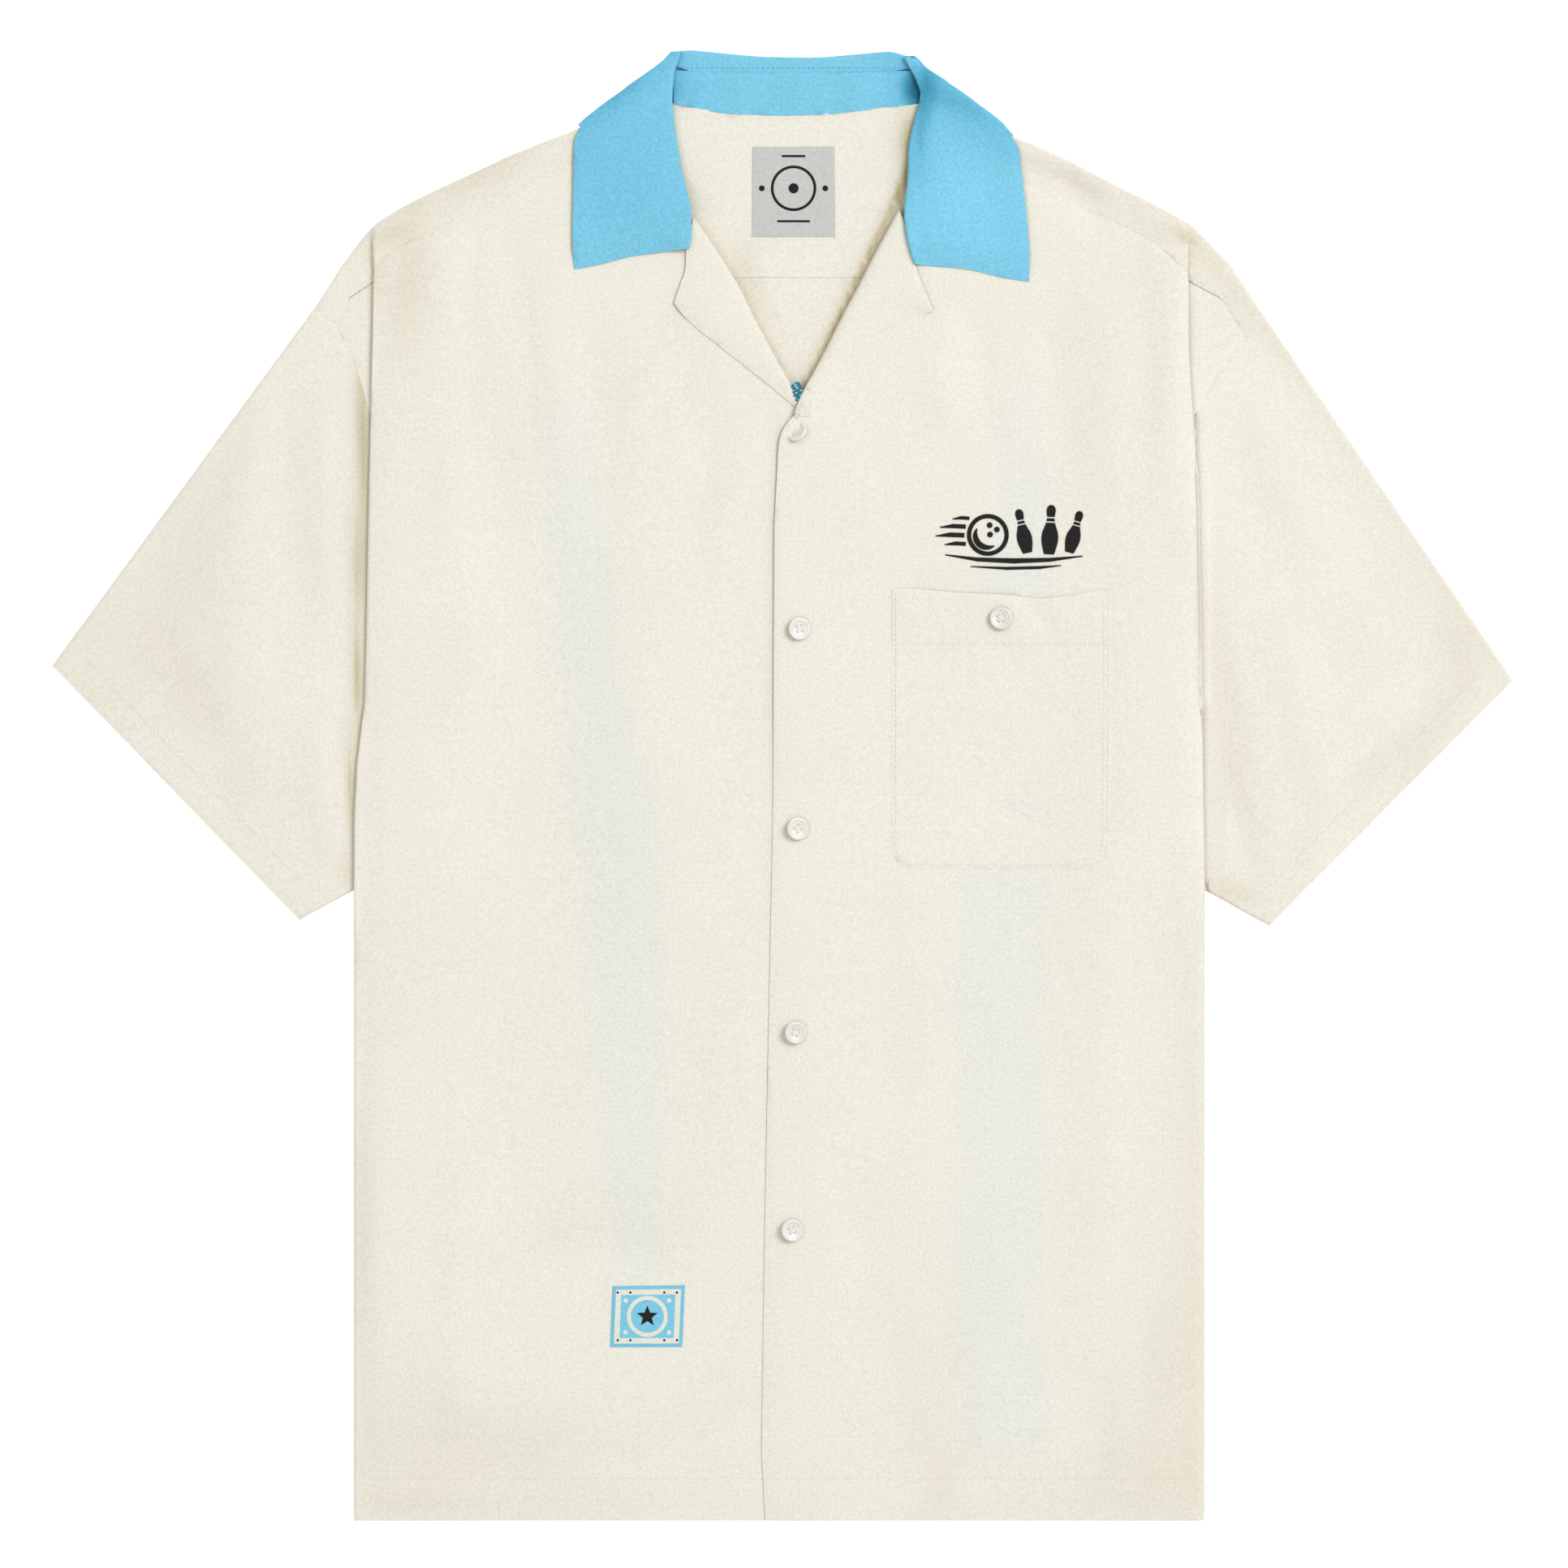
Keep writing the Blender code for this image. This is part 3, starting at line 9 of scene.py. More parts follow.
import bmesh
import bpy
import numpy as np
from bpy.props import FloatProperty, FloatVectorProperty, IntProperty, PointerProperty
from mathutils import Euler, Matrix, Vector, noise
from mathutils.bvhtree import BVHTree


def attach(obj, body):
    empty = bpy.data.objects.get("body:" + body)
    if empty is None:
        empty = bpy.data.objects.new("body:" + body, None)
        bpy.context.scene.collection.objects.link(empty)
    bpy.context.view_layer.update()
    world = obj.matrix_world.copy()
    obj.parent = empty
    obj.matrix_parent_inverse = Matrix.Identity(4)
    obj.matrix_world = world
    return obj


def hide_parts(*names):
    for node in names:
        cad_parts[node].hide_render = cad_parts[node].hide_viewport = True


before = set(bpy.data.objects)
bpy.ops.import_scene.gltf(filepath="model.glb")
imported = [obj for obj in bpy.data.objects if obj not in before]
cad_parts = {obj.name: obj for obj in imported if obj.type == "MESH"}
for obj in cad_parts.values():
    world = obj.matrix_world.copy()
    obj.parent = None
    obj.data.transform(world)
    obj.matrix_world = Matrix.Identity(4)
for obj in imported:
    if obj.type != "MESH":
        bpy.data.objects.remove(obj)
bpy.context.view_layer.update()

bl_info = {
    "name": "Bowling Shirt",
    "version": (1, 0, 0),
    "blender": (4, 5, 0),
    "location": "View3D > Sidebar > Shirt",
    "description": "Dresses the flat shirt with cloth, stitching and trimmings",
    "category": "Object",
}

MM = 0.001
UP = Vector((0.0, 0.0, 1.0))

# ---------------------------------------------------------------- how the frame's walls are made
WALL = 1.0 * MM            # thickness of every cloth wall of the frame
WALL_ERROR = 0.002 * MM
MERGE = 0.001 * MM
FACET_ANGLE = math.radians(13.0)
CORNER_ANGLE = math.radians(33.0)
SHARP_ANGLE = math.radians(42.0)
LEVEL = 0.93               # a face whose normal rises more than this lies level
ROUNDING = 12              # rounds that round off the folds of a cloth, and of the pocket
POCKET_ROUNDING = 14
SEAM_REACH = 0.13          # a cloth reaches this much towards its seams and dips into them
SEAM_DIP = 0.3
SIDES = ((-1, -1), (-1, 1), (1, -1), (1, 1))

# Cloth pieces. Columns: wall that is the outside, finish, record slot, flat width, flat length,
# flat area in square metres, how it is held, what it rests on.
CLOTHS = {
    "back": ("down", "back", "ivory_cloth", 560, 690, 0.365, "folded", ()),
    "yoke": ("round", "ivory", "ivory_cloth", 545, 185, 0.0496, "folded", ("collar_leaf",)),
    "front_right": ("up", "front", "ivory_cloth", 318, 778, 0.2156, "folded", ("back",)),
    "front_left": ("up", "front", "ivory_cloth", 306, 768, 0.2015, "folded", ("front_right", "back")),
    "sleeve_right": ("round", "ivory", "ivory_cloth", 520, 262, 0.0804, "folded", ("back",)),
    "sleeve_left": ("round", "ivory", "ivory_cloth", 520, 262, 0.0816, "folded", ("back",)),
    "facing_right": ("up", "ivory", "ivory_cloth", 68, 108, 0.0031, "folded", ("front_right",)),
    "facing_left": ("up", "ivory", "ivory_cloth", 82, 120, 0.0037, "folded", ("front_left",)),
    "collar_leaf": ("round", "sky", "sky_cloth", 455, 92, 0.0269, "folded", ("yoke", "front_left")),
    "collar_stand": ("up", "sky", "sky_cloth", 138, 25, 0.0028, "laid", ("yoke",)),
}

# ---------------------------------------------------------------- folds of the cloth
# Side folds of the fronts, with the depth of the tuck. Columns: y, distance from middle, depth.
SIDE_FOLD = ((-407.5, 236.0, 45.0), (-58.0, 235.6, 45.0), (48.0, 231.8, 45.0), (111.0, 230.6, 42.0),
             (142.0, 230.1, 36.0), (205.0, 228.0, 20.0), (236.0, 226.4, 12.0), (276.0, 225.8, 5.0),
             (300.0, 225.2, 1.0), (312.0, 225.0, -40.0))

# Folds on the side that shows. Columns: start x, y, end x, y, bow, half width, height.
TOP_FOLDS = (
    # wearer's right front, from the shoulder down
    (-150, 296, -138, 176, 3, 9, -1.5),
    (-163, 292, -160, 190, -2, 8, 0.8),
    (-109, 262, -99, 132, 3, 13, -1.2),
    (-84, 258, -74, 150, 2, 15, 0.9),
    (-60, 262, -50, 186, 0, 13, -1.0),
    (-205, 300, -198, 250, 0, 8, -0.8),
    (-188, 296, -182, 150, 3, 14, 1.3),
    (-18, 200, -40, 136, 3, 9, 0.8),
    (-36, 206, -62, 130, 4, 12, -0.8),
    (-84, 132, -66, -130, 6, 34, 1.9),
    (-88, -98, -70, -90, 0, 5, -0.6),
    (-150, -256, -62, -252, 5, 26, -2.2),
    (-216, -334, -84, -330, -14, 20, 1.9),
    (-78, -366, -20, -300, -9, 9, 0.7),
    (-66, -338, -14, -274, -8, 9, -0.8),
    (-104, -376, -40, -352, -5, 8, -0.9),
    (-196, -130, -184, -330, 6, 26, 0.9),
    (-30, -60, -22, -230, -5, 17, 0.7),
    (-150, 60, -158, -120, 8, 30, 0.9),
    # wearer's left front
    (104, 262, 112, 190, 3, 9, -0.9),
    (88, 258, 92, 180, 0, 11, 0.8),
    (152, 262, 157, 178, -3, 10, -1.0),
    (176, 272, 184, 170, 3, 14, 1.1),
    (205, 262, 200, 150, 0, 10, -1.2),
    (60, 210, 96, 176, 5, 14, -0.8),
    (28, 176, 58, 118, 4, 16, 0.7),
    (26, -208, 66, -338, 4, 15, -0.8),
    (8, -190, 36, -292, 3, 10, 0.4),
    (72, -78, 74, -214, 4, 12, 0.4),
    (56, -70, 60, -200, 4, 13, -0.4),
    (170, -322, 176, -380, 0, 17, -1.5),
    (132, -338, 112, -380, 0, 16, 0.9),
    (206, -330, 196, -386, 4, 12, 1.0),
    (92, -300, 104, -382, -4, 12, -0.9),
    (190, -60, 186, -250, 5, 24, 0.9),
    (146, -70, 150, -300, -4, 22, -0.8),
    # shoulders
    (134, 352, 186, 328, 2, 5, 1.7),
    (130, 344, 178, 321, 2, 4, -1.4),
    (196, 318, 222, 300, 1, 6, 1.6),
    (150, 336, 176, 306, 3, 6, -1.4),
    (140, 360, 160, 352, 0, 4, -1.3),
    (-132, 350, -176, 330, -2, 6, 1.5),
    (-150, 334, -206, 306, -3, 7, -1.5),
    # wearer's right sleeve
    (-274, 228, -266, 92, -4, 10, -1.1),
    (-252, 214, -246, 88, -3, 9, 0.9),
    (-306, 200, -292, 40, -6, 18, 1.9),
    (-340, 120, -372, 60, 6, 14, -0.9),
    (-262, 30, -246, -34, 4, 11, 1.1),
    (-284, 6, -262, -46, 3, 10, -1.1),
    (-316, 6, -304, -16, 0, 7, -0.9),
    # wearer's left sleeve
    (272, 96, 296, -44, 8, 13, 1.6),
    (364, 76, 326, -10, 6, 13, -1.9),
    (384, 58, 350, 4, 4, 10, 1.1),
    (338, 100, 300, 0, 6, 18, 1.3),
    (290, 10, 276, -56, 3, 8, -0.8),
    (262, 216, 300, 130, -6, 15, 1.3),
    (250, 206, 272, 128, -4, 10, -0.6),
    (320, 150, 346, 90, -4, 16, -1.0),
)
# Steps in the sleeves, higher to the left of their run. Same columns.
TOP_STEPS = ((-326, 214, -346, -18, 8, 24, 2.2), (266, -50, 238, 110, 10, 9, -2.8))
STEP_FADE = 5.0            # a step fades over this many half widths
FOLD_RUN = 0.22            # a fold runs on past its ends by this share of its length
FOLD_FADE = 0.5            # and eases in over this share
TUCK_OUTSIDE = (3.0, 22.0)  # where cloth beside a side tuck lies free: distance, length of easing
TUCK_INSIDE = (8.0, 24.0)
UPPER_TURN = (0.1, 0.9)    # how cloth that faces up takes the folds: start, length of easing
LOWER_TURN = (0.1, 0.8)    # and cloth that faces down
UNDERSIDE = 2.0            # height of the cloth that lies on the surface
HEM_EDGE_Y = -407.5
HEM_Y = -384.0             # stitching of the hem
HEM_RISE = 0.28            # the turned-up cloth of the hem is this much higher
HEM_STEP = 1.5             # over this length
# The fronts lie a little higher away from their edges, up to the shoulders. Tops: y, length of the
# easing below it.
CROWN = 1.1
CROWN_REACH = 17.0
CROWN_TOP = (350.0, 50.0)
EDGE_DROP = (0.5, 2.2)     # and round down into the side folds, on the wearer's right and left
EDGE_REACH = 10.0
EDGE_TOP = (300.0, 40.0)

# Shallow folds that lift the side on the surface. Same columns.
UNDER_FOLDS = (
    (-120, 210, -96, -40, 9, 10, 0.8),
    (-150, -80, -118, -330, -8, 12, 0.9),
    (-34, 190, -10, 20, 6, 9, 0.7),
    (26, -40, 2, -260, 7, 11, 0.8),
    (92, 230, 128, 70, -8, 10, 0.8),
    (140, -20, 112, -210, -6, 12, 0.9),
    (60, -230, 124, -352, 9, 10, 0.8),
    (-70, -270, -16, -366, -6, 9, 0.7),
    (-60, 262, -20, 250, 3, 7, 0.5),
    (-300, 150, -320, 0, 6, 10, 0.7),
    (-350, 96, -300, -20, -5, 9, 0.6),
    (296, 140, 330, 10, -6, 10, 0.7),
    (352, 86, 308, -24, 5, 9, 0.6),
)
# Folds of the collar. Same columns.
COLLAR_FOLDS = (
    (-47, 394, -55, 376, 1, 3.0, 1.5),
    (-36, 394, -46, 375, 1, 3.5, -1.0),
    (-20, 393, -29, 375, -1, 5.0, 0.9),
    (-6, 393, -12, 375, 0, 4.0, -0.7),
    (12, 392, 4, 375, 1, 5.0, 0.8),
    (30, 392, 23, 374, 1, 4.0, -0.8),
    (46, 393, 38, 376, 2, 4.5, 0.9),
    (60, 393, 52, 376, 2, 3.5, -1.1),
    (-104, 340, -66, 330, 3, 12, 0.9),
    (-112, 312, -70, 300, -3, 14, -0.9),
    (90, 352, 84, 300, 2, 10, 0.9),
    (118, 340, 124, 296, -2, 10, -0.8),
)
# Folds of the patch pocket. Same columns.
POCKET_FOLDS = (
    (123, 104, 127, 84, 0, 3, 0.8),
    (133, 104, 150, 84, 1, 5, -0.8),
    (100, 104, 92, 86, -1, 6, -0.6),
    (84, 60, 140, 20, 6, 16, 0.5),
    (110, -6, 160, -30, 4, 14, -0.4),
)
# Patches of painted shade, for all pieces that show their upper side, and for single pieces; a share below
# zero paints light instead.
# Columns: middle x, y, half length, half width, turn in degrees, share.
# Painted shade along the lapels' roll lines inside the neck.
ROLL_SHADE = ((46, 290, 110, 3.6, 64, 1.9), (-14, 272, 30, 6, -60, 0.6), (-20, 284, 22, 8, 85, 0.5))
PAINTED_SHADE_PATCHES = {
    "": (
        (-352, 96, 120, 34, 54, 0.4), (-300, -20, 90, 16, -45, 0.15), (-110, 60, 170, 26, 88, 0.1),
        (-110, -250, 45, 14, 3, 0.25), (-60, -350, 80, 12, 18, 0.15), (-300, 190, 40, 10, 80, 0.4),
        (-325, 50, 35, 16, -60, 0.6), (-290, 0, 30, 8, -60, 0.3), (-205, 275, 50, 12, 88, 0.5),
        (-150, 190, 50, 14, 90, 0.3), (-65, 200, 30, 8, 90, 0.3), (-190, -372, 75, 40, 0, 0.55),
        (-60, -388, 70, 20, 8, 0.2), (190, -385, 60, 26, 0, 0.5), (55, -310, 60, 16, -70, 0.25),
        (207, -330, 60, 12, 88, 0.5), (-165, 341, 50, 6, 26, 1.0), (185, 335, 60, 4.5, -26, 1.1),
        (-208, 285, 45, 12, 85, 0.6), (-222, 303, 12, 6, 30, 0.8), (222, 303, 12, 6, -30, 0.8),
        (244, 60, 90, 12, 104, 0.6), (372, 20, 70, 22, 46, 0.15), (84, -345, 50, 16, 85, 0.35),
        (222, -200, 180, 9, 90, 0.3), (166, 330, 50, 8, -26, 0.5), (-160, 250, 60, 16, 80, 0.2),
        (-172, 326, 60, 8, 27, 0.35), (60, 330, 30, 12, 70, 0.25), (206, 240, 60, 12, 88, 0.3),
        (-66, 250, 40, 8, 60, 0.25), (210, 330, 40, 10, -34, 0.3), (90, -385, 25, 10, 80, 0.4),
        (-215, -398, 30, 6, 0, 0.5), (245, 280, 60, 10, -50, 0.7),
    ),
    "front_right": ((-5, 125, 55, 2.4, 90, 1.0), (-5.5, 20, 60, 2.2, 91.5, 0.8),
                    (-7, -60, 30, 2, 92, 0.4), (-224, 288, 18, 4, 88, 0.8),
                    (-232, -245, 75, 6, 90, 0.6), (-235, -260, 70, 2.5, 90, 0.4)),
    "front_left": ((230, -230, 170, 6, 90, 0.6), (228, -345, 70, 12, 90, 0.4),
                   (231.5, 115, 130, 3, 91, -0.8)),
    "sleeve_right": ((-230, 262, 30, 3.5, 88, 1.5), (-233, 195, 50, 4.5, 91.5, 1.8),
                     (-235, 118, 42, 7, 91.5, 1.4), (-234.5, 62, 24, 3, 92, 0.8),
                     (-235.5, 48, 34, 3.6, 93, 1.1), (-239, -6, 38, 3, 93, 1.6),
                     (-242, -48, 12, 4, 100, 0.7)),
    "sleeve_left": ((325, 182, 150, 8, -55.4, 0.7), (378, 92, 40, 14, -58, 0.5),
                    (355, 60, 30, 12, -60, 0.2), (374, 68, 25, 8, -60, 0.5),
                    (345, 20, 45, 9, 47, 0.35), (252, -5, 45, 6, -75, 0.4),
                    (250, -60, 16, 8, -20, 1.0), (242, -20, 40, 4, 91, 0.6),
                    (234.5, 115, 130, 3, 91, -0.7), (322, 8, 35, 6, 47, 0.3)),
    "facing_left": ((50, 292, 110, 2.5, 64, 0.7),),
    "collar_stand": ((75, 386, 14, 10, 95, 3.4), (-58, 388, 10, 4, 80, 1.4), (-48, 384, 10, 4, 75, 0.9)),
    "collar_leaf": ((-84, 388, 34, 9, 39, 1.1), (-88, 345, 45, 40, 0, 0.5), (93, 381, 44, 14, -35, 1.35),
                    (77, 366, 34, 6, 84, 1.5), (108, 322, 40, 34, 0, -0.35)),
    "yoke": (*ROLL_SHADE, (70, 361, 17, 9, 80, 1.6), (66, 338, 17, 4.5, 79, 0.8)),
    "back": ROLL_SHADE,
}
MOST_PAINTED_SHADE = 3.0
# Painted shade of a cloth, as shares of its colour: a little deeper, deep and deepest in tone, and painted
# shade in creases.
IVORY_PAINTED_SHADES = ((0.905, 0.885, 0.83), (0.66, 0.60, 0.40), (0.45, 0.42, 0.38), (0.84, 0.76, 0.58))
PAINTED_LIGHTER = (1.14, 1.15, 1.18)   # painted light where the tone is below zero
SKY_PAINTED_SHADES = ((0.77, 0.88, 0.93), (0.36, 0.64, 0.67), (0.30, 0.42, 0.48), (0.55, 0.74, 0.82))
PAINTED_CREASE_SHARE = 0.8         # how strongly shut-in cloth takes its painted crease shade
CREASE_REACH = 24.0
CREASE_SAMPLES = 8
# The blue lights and the pink ones of the shell, as shares of its colour.
PEARL_TINTS = ((0.88, 1.0, 1.02), (1.08, 0.95, 0.93))
CORD_BLUE = (0.02, 0.19, 0.27)
WAVE_LENGTH = math.tau / 20.0   # length of one wave of the wave texture at scale 1
RIB_PITCH = 0.42           # pitch of the strands in a thread
# Slow waves of the cloth. Columns: wavelength across, wavelength along, height.
WAVES = ((105.0, 170.0, 0.55), (42.0, 78.0, 0.17))

# Stripes of the back, and how they show faintly through the fronts. Columns: y, left x, right x.
BACK_STRIPES = (((-400.0, -102.0, -66.0), (300.0, -142.0, -100.0)),
                ((-400.0, 98.0, 144.0), (300.0, 112.0, 152.0)))
SHOWN_STRIPES = (
    ((-316.0, -92.0, -68.0), (-240.0, -97.0, -70.0), (-150.0, -104.0, -66.0), (-70.0, -112.0, -68.0),
     (10.0, -120.0, -76.0), (70.0, -126.0, -88.0), (130.0, -130.0, -98.0), (250.0, -140.0, -108.0)),
    ((-384.0, 97.0, 143.0), (-47.0, 97.0, 144.0), (130.0, 108.0, 148.0), (160.0, 116.0, 148.0),
     (250.0, 118.0, 150.0)))

SHOWN_TINT = (0.958, 0.988, 1.015)
SHOWN_EDGE = (6.5, 30.0, 110.0)   # softness, wobble and length over which the ends fade
WOVEN_EDGE = 0.2

# ---------------------------------------------------------------- things sewn on
# The lapel underneath runs on at its lower end; the one on top is drawn across and ends. Tops: y,
# length of the easing below it.
LAPEL_RUN = (4.4, -3.4)
LAPEL_RUN_TOP = (226.0, 14.0)
LAPEL_TUCK = 2.0
LAPEL_TUCK_TOP = (209.0, 6.0)
LAPEL_END_Y = 204.0
# Outer edges of the lapels, ends x, y, and the length over which the pressing sets in.
LAPEL_EDGES = {"facing_right": ((-58.0, 261.0), (6.0, 208.4), 8.0),
               "facing_left": ((82.6, 263.4), (8.0, 201.0), 10.0)}
LAPEL_ROLL = 4.0           # the lapel underneath is pressed only above this height
LAPEL_FLAT_TOP = (214.0, 8.0)     # the one on top is pressed flat below this
# Lower edges of the collar's two flaps, ends x, y.
FLAP_EDGES = (((-118.0, 285.0), (-66.0, 294.0)), ((137.0, 278.4), (80.0, 287.0)))
# Edge of the front on top. Columns: y, x.
PLACKET_EDGE = ((-407.5, -12.0), (-330.0, -11.6), (-180.0, -9.5), (40.0, -6.0), (60.0, -5.0))
PLACKET_TOP = (60.0, 60.0)
# Edges pressed down on the cloth under them. Columns: share, reach, gap left, carriers.
PRESSED = {
    "facing_right": (0.75, 11.0, 0.65, ("front_right",)),
    "facing_left": (1.0, 15.0, -0.3, ("front_left",)),
    "front_left": (0.75, 14.0, 0.75, ("front_right",)),
    "collar_leaf": (0.9, 15.0, 0.72,
                    ("front_right", "front_left", "facing_right", "facing_left", "yoke")),
}
LEAST_CARRIER = 2.5        # cloth lower than this carries no pressed edge
# Places where a piece's outline is drawn out. Columns: x, y, way x, way y, reach, lowest, highest.
PULLS = {
    "collar_leaf": ((-58.0, 403.8, -1.5, 2.6, 5.0, -1.0, 4.6), (-60.0, 403.6, 3.0, 2.2, 5.0, 4.6, 20.0),
                    (70.5, 401.6, 1.5, 2.2, 5.5, -1.0, 4.6), (73.0, 402.0, -4.0, 2.9, 6.5, 4.6, 20.0),
                    (-82.0, 289.0, 0.0, 4.2, 25.0, -1.0, 20.0), (-118.0, 325.0, 0.9, 0.0, 28.0, -1.0, 20.0),
                    (101.0, 282.5, 0.0, 3.6, 22.0, -1.0, 20.0), (136.0, 330.0, -0.7, 0.0, 28.0, -1.0, 20.0),
                    (72.0, 360.0, -4.6, 0.0, 21.0, 3.0, 20.0),
                    (5.0, 404.0, 0.0, -1.2, 50.0, -1.0, 20.0),
                    (128.5, 361.0, -1.3, -0.5, 6.0, -1.0, 20.0), (-113.6, 365.4, 0.8, 0.0, 5.0, -1.0, 20.0)),
    "collar_stand": ((5.0, 373.0, 0.0, -0.9, 60.0, -1.0, 20.0),),
    "front_left": ((5.5, 202.5, -0.9, 0.5, 6.0, 0.0, 20.0),),
}
# Patch pocket. Columns of its edge: x, y.
POCKET_BAND_Y = 78.0
POCKET_EDGE = ((60.8, 107.0), (60.5, -35.4), (63.6, -43.2), (71.3, -46.4), (170.6, -46.4),
               (178.4, -43.2), (181.6, -35.4), (182.5, 106.6))
POCKET_SIDE_X = 60.5
POCKET_WIDTH = 121.5
POCKET_CELL = 3.0
POCKET_DIP = 0.28          # its rim dips this much into the front
POCKET_RISE = 0.38         # all of it lies this much above the front
POCKET_BAND = (0.25, 2.0)  # rise of the turned band, and the length over which it sets in
# The open mouth: rise in its middle, y where it sets in, length over which it does, bulge.
POCKET_MOUTH = (1.1, 62.0, 44.0, 0.7)
PATCH_CORNERS = ((-95.6, -311.4), (-55.6, -311.4), (-54.2, -277.2), (-94.3, -277.7))
PATCH_CELLS = (40, 34)     # columns and rows of its grid
PATCH_LIE = (0.5, 0.28)    # how high it lies on the cloth, and how much its rim dips
PATCH_FRAME = (2, 5)       # the cream frame's cells from the rim
PATCH_MIDDLE = (-75.0, -294.4)
PATCH_RING = (11.4, 2.3)   # radius and line width
PATCH_STAR = (6.0, 2.6)    # radii of its points and of the corners between
# Dots of the patch. Columns: distance across, distance up, radius, points.
PATCH_LIGHT_DOTS = ((12.0, 8.8, 1.3, 16),)
PATCH_DARK_DOTS = ((16.4, 13.2, 0.65, 12), (9.4, 13.2, 0.65, 12))
LABEL_CORNERS = ((-16.9, 303.8), (29.0, 303.8), (28.6, 353.7), (-16.6, 353.4))
LABEL_CELLS = (18, 20)
LABEL_LIE = (1.15, 0.15)
LABEL_MIDDLE = (6.0, 330.6)
LABEL_RING = (12.6, 1.5)
LABEL_DOT = 2.8
LABEL_SIDE_DOTS = (17.6, 1.6)                 # distance from the middle, radius
LABEL_BARS = ((312.4, 9.0), (348.4, 6.5))     # y, half length
LABEL_BAR_HALF = 0.6
LABEL_SEAM = ((-14.6, 351.6), (26.8, 351.8))
TRIM_THICKNESS = 0.5
PRINT_THICKNESS = 0.12     # woven marks stand this much above the label and the patch
STAR_THICKNESS = 0.14
MARK_SINK = 0.1            # all marks go this much into what carries them
MARK_CELL = 1.6
FINE_CELL = 1.2            # cell of the star and of the embroidery

# Chest embroidery: a ball with holes, its shade, speed lines, pins and the lane.
EMBROIDERY_THICKNESS = 0.35
BALL = (113.6, 138.4)
BALL_RING = (11.6, 2.4)    # radius and line width
BALL_HOLES = ((114.6, 143.8), (118.6, 141.4), (114.8, 138.6))
BALL_HOLE_RADIUS = 1.6
SHADE_RADIUS = 7.0
SHADE_TURN = (150.0, 300.0)
SHADE_WIDTHS = (0.7, 1.6, 2.4, 2.9, 3.2, 3.3)  # from either end to the middle
# Columns: y, start x, end x, width.
SPEED_LINES = ((147.6, 94.0, 103.4, 1.9), (143.0, 87.0, 101.4, 2.4), (138.2, 84.6, 100.6, 2.6),
               (133.4, 89.6, 101.4, 2.2))
SPEED_BOW = (-0.4, 0.3)    # how far their starts and middles lie off y
SPEED_START = 0.5          # their width at the start
# Columns: foot x, y, lean in degrees, scale.
PINS = ((135.6, 128.4, 12.0, 0.92), (147.4, 127.6, -3.0, 1.02), (158.6, 128.6, -15.0, 0.88))
PIN_PARTS = ((0, 6), (6, 8), (8, 12))         # first and last point of each part's section
# Columns: height, half width.
PIN_SECTION = ((0.0, 2.7), (1.5, 3.2), (6.0, 4.3), (9.0, 4.6), (12.0, 4.2), (16.2, 2.7),
               (17.2, 2.4), (18.6, 2.1), (19.6, 2.0), (22.0, 2.3), (24.2, 2.5), (25.8, 2.0), (26.8, 0.9))
PIN_BAND_GAP = 0.8
# Lane under the ball and pins. Columns: x, y, width.
LANE_LINES = (
    ((90.0, 127.4, 0.6), (108.0, 124.8, 2.2), (128.0, 124.0, 2.9), (148.0, 124.6, 2.2),
     (166.0, 126.6, 0.6)),
    ((104.0, 120.9, 0.5), (124.0, 119.9, 1.7), (142.0, 120.3, 1.7), (154.0, 121.4, 0.5)))

# Buttons. Columns: x, y, lean about X and about Y in degrees, turn in degrees, how deep it sits in
# its hole, carriers.
BUTTONS = {
    "button_1": (7.8, 195.4, -22.0, -26.0, 20.0, 4.4, ("facing_left", "front_left")),
    "button_2": (9.0, 86.4, 0.0, 14.0, 8.0, 0.3, ("front_left",)),
    "button_3": (8.1, -24.3, 0.0, 15.0, 37.0, 0.3, ("front_left",)),
    "button_4": (6.8, -137.2, 0.0, 17.0, -22.0, 0.3, ("front_left",)),
    "button_5": (5.0, -246.6, 0.0, 16.0, 14.0, 0.3, ("front_left",)),
    "button_pocket": (120.8, 92.2, -1.0, 1.0, 5.0, 0.0, ("pocket",)),
}
BUTTON_GAP = 0.05
# Section of a button from its middle underneath, round the rim, to its middle on top.
BUTTON_SECTION = ((0.0, 0.0), (5.1, 0.0), (5.9, 0.25), (6.25, 0.7), (6.3, 1.2), (6.15, 1.65),
                  (5.8, 2.0), (5.4, 2.15), (4.9, 2.1), (4.5, 1.85), (4.0, 1.55), (3.4, 1.4),
                  (0.0, 1.35))
BUTTON_STEPS = 48
BUTTON_HOLE = 1.7
BUTTON_HOLE_SPACING = 2.9
DRILL = (1.0, 6.0)         # height of a drill's middle, and its length
STRAND = (3.1, 0.8, 0.42)  # half sizes of a strand of the button thread
STRAND_HEIGHT = 1.5
SHANK = (1.6, 1.2, 1.4, -0.35)  # lower and upper radius, length, height of its middle

# Crocheted loop. Columns: y, middle x, half width. Rows from the top down.
LOOP_ROWS = ((222.4, 7.5, 1.3), (221.2, 7.6, 1.9), (219.8, 7.8, 2.1), (218.4, 8.0, 2.0), (217.0, 8.1, 1.8),
             (215.7, 8.2, 1.4), (214.4, 8.3, 1.0), (213.2, 8.4, 0.5))
LOOP_HEIGHT = 5.9          # height of its rim
LOOP_BULGE = 0.9           # and how much its middle bulges
LOOP_STEP = 1.2            # about how far apart the beads of a row lie
LOOP_LEAN = 38.0
LOOP_BEAD = (1.1, 0.6, 0.7)

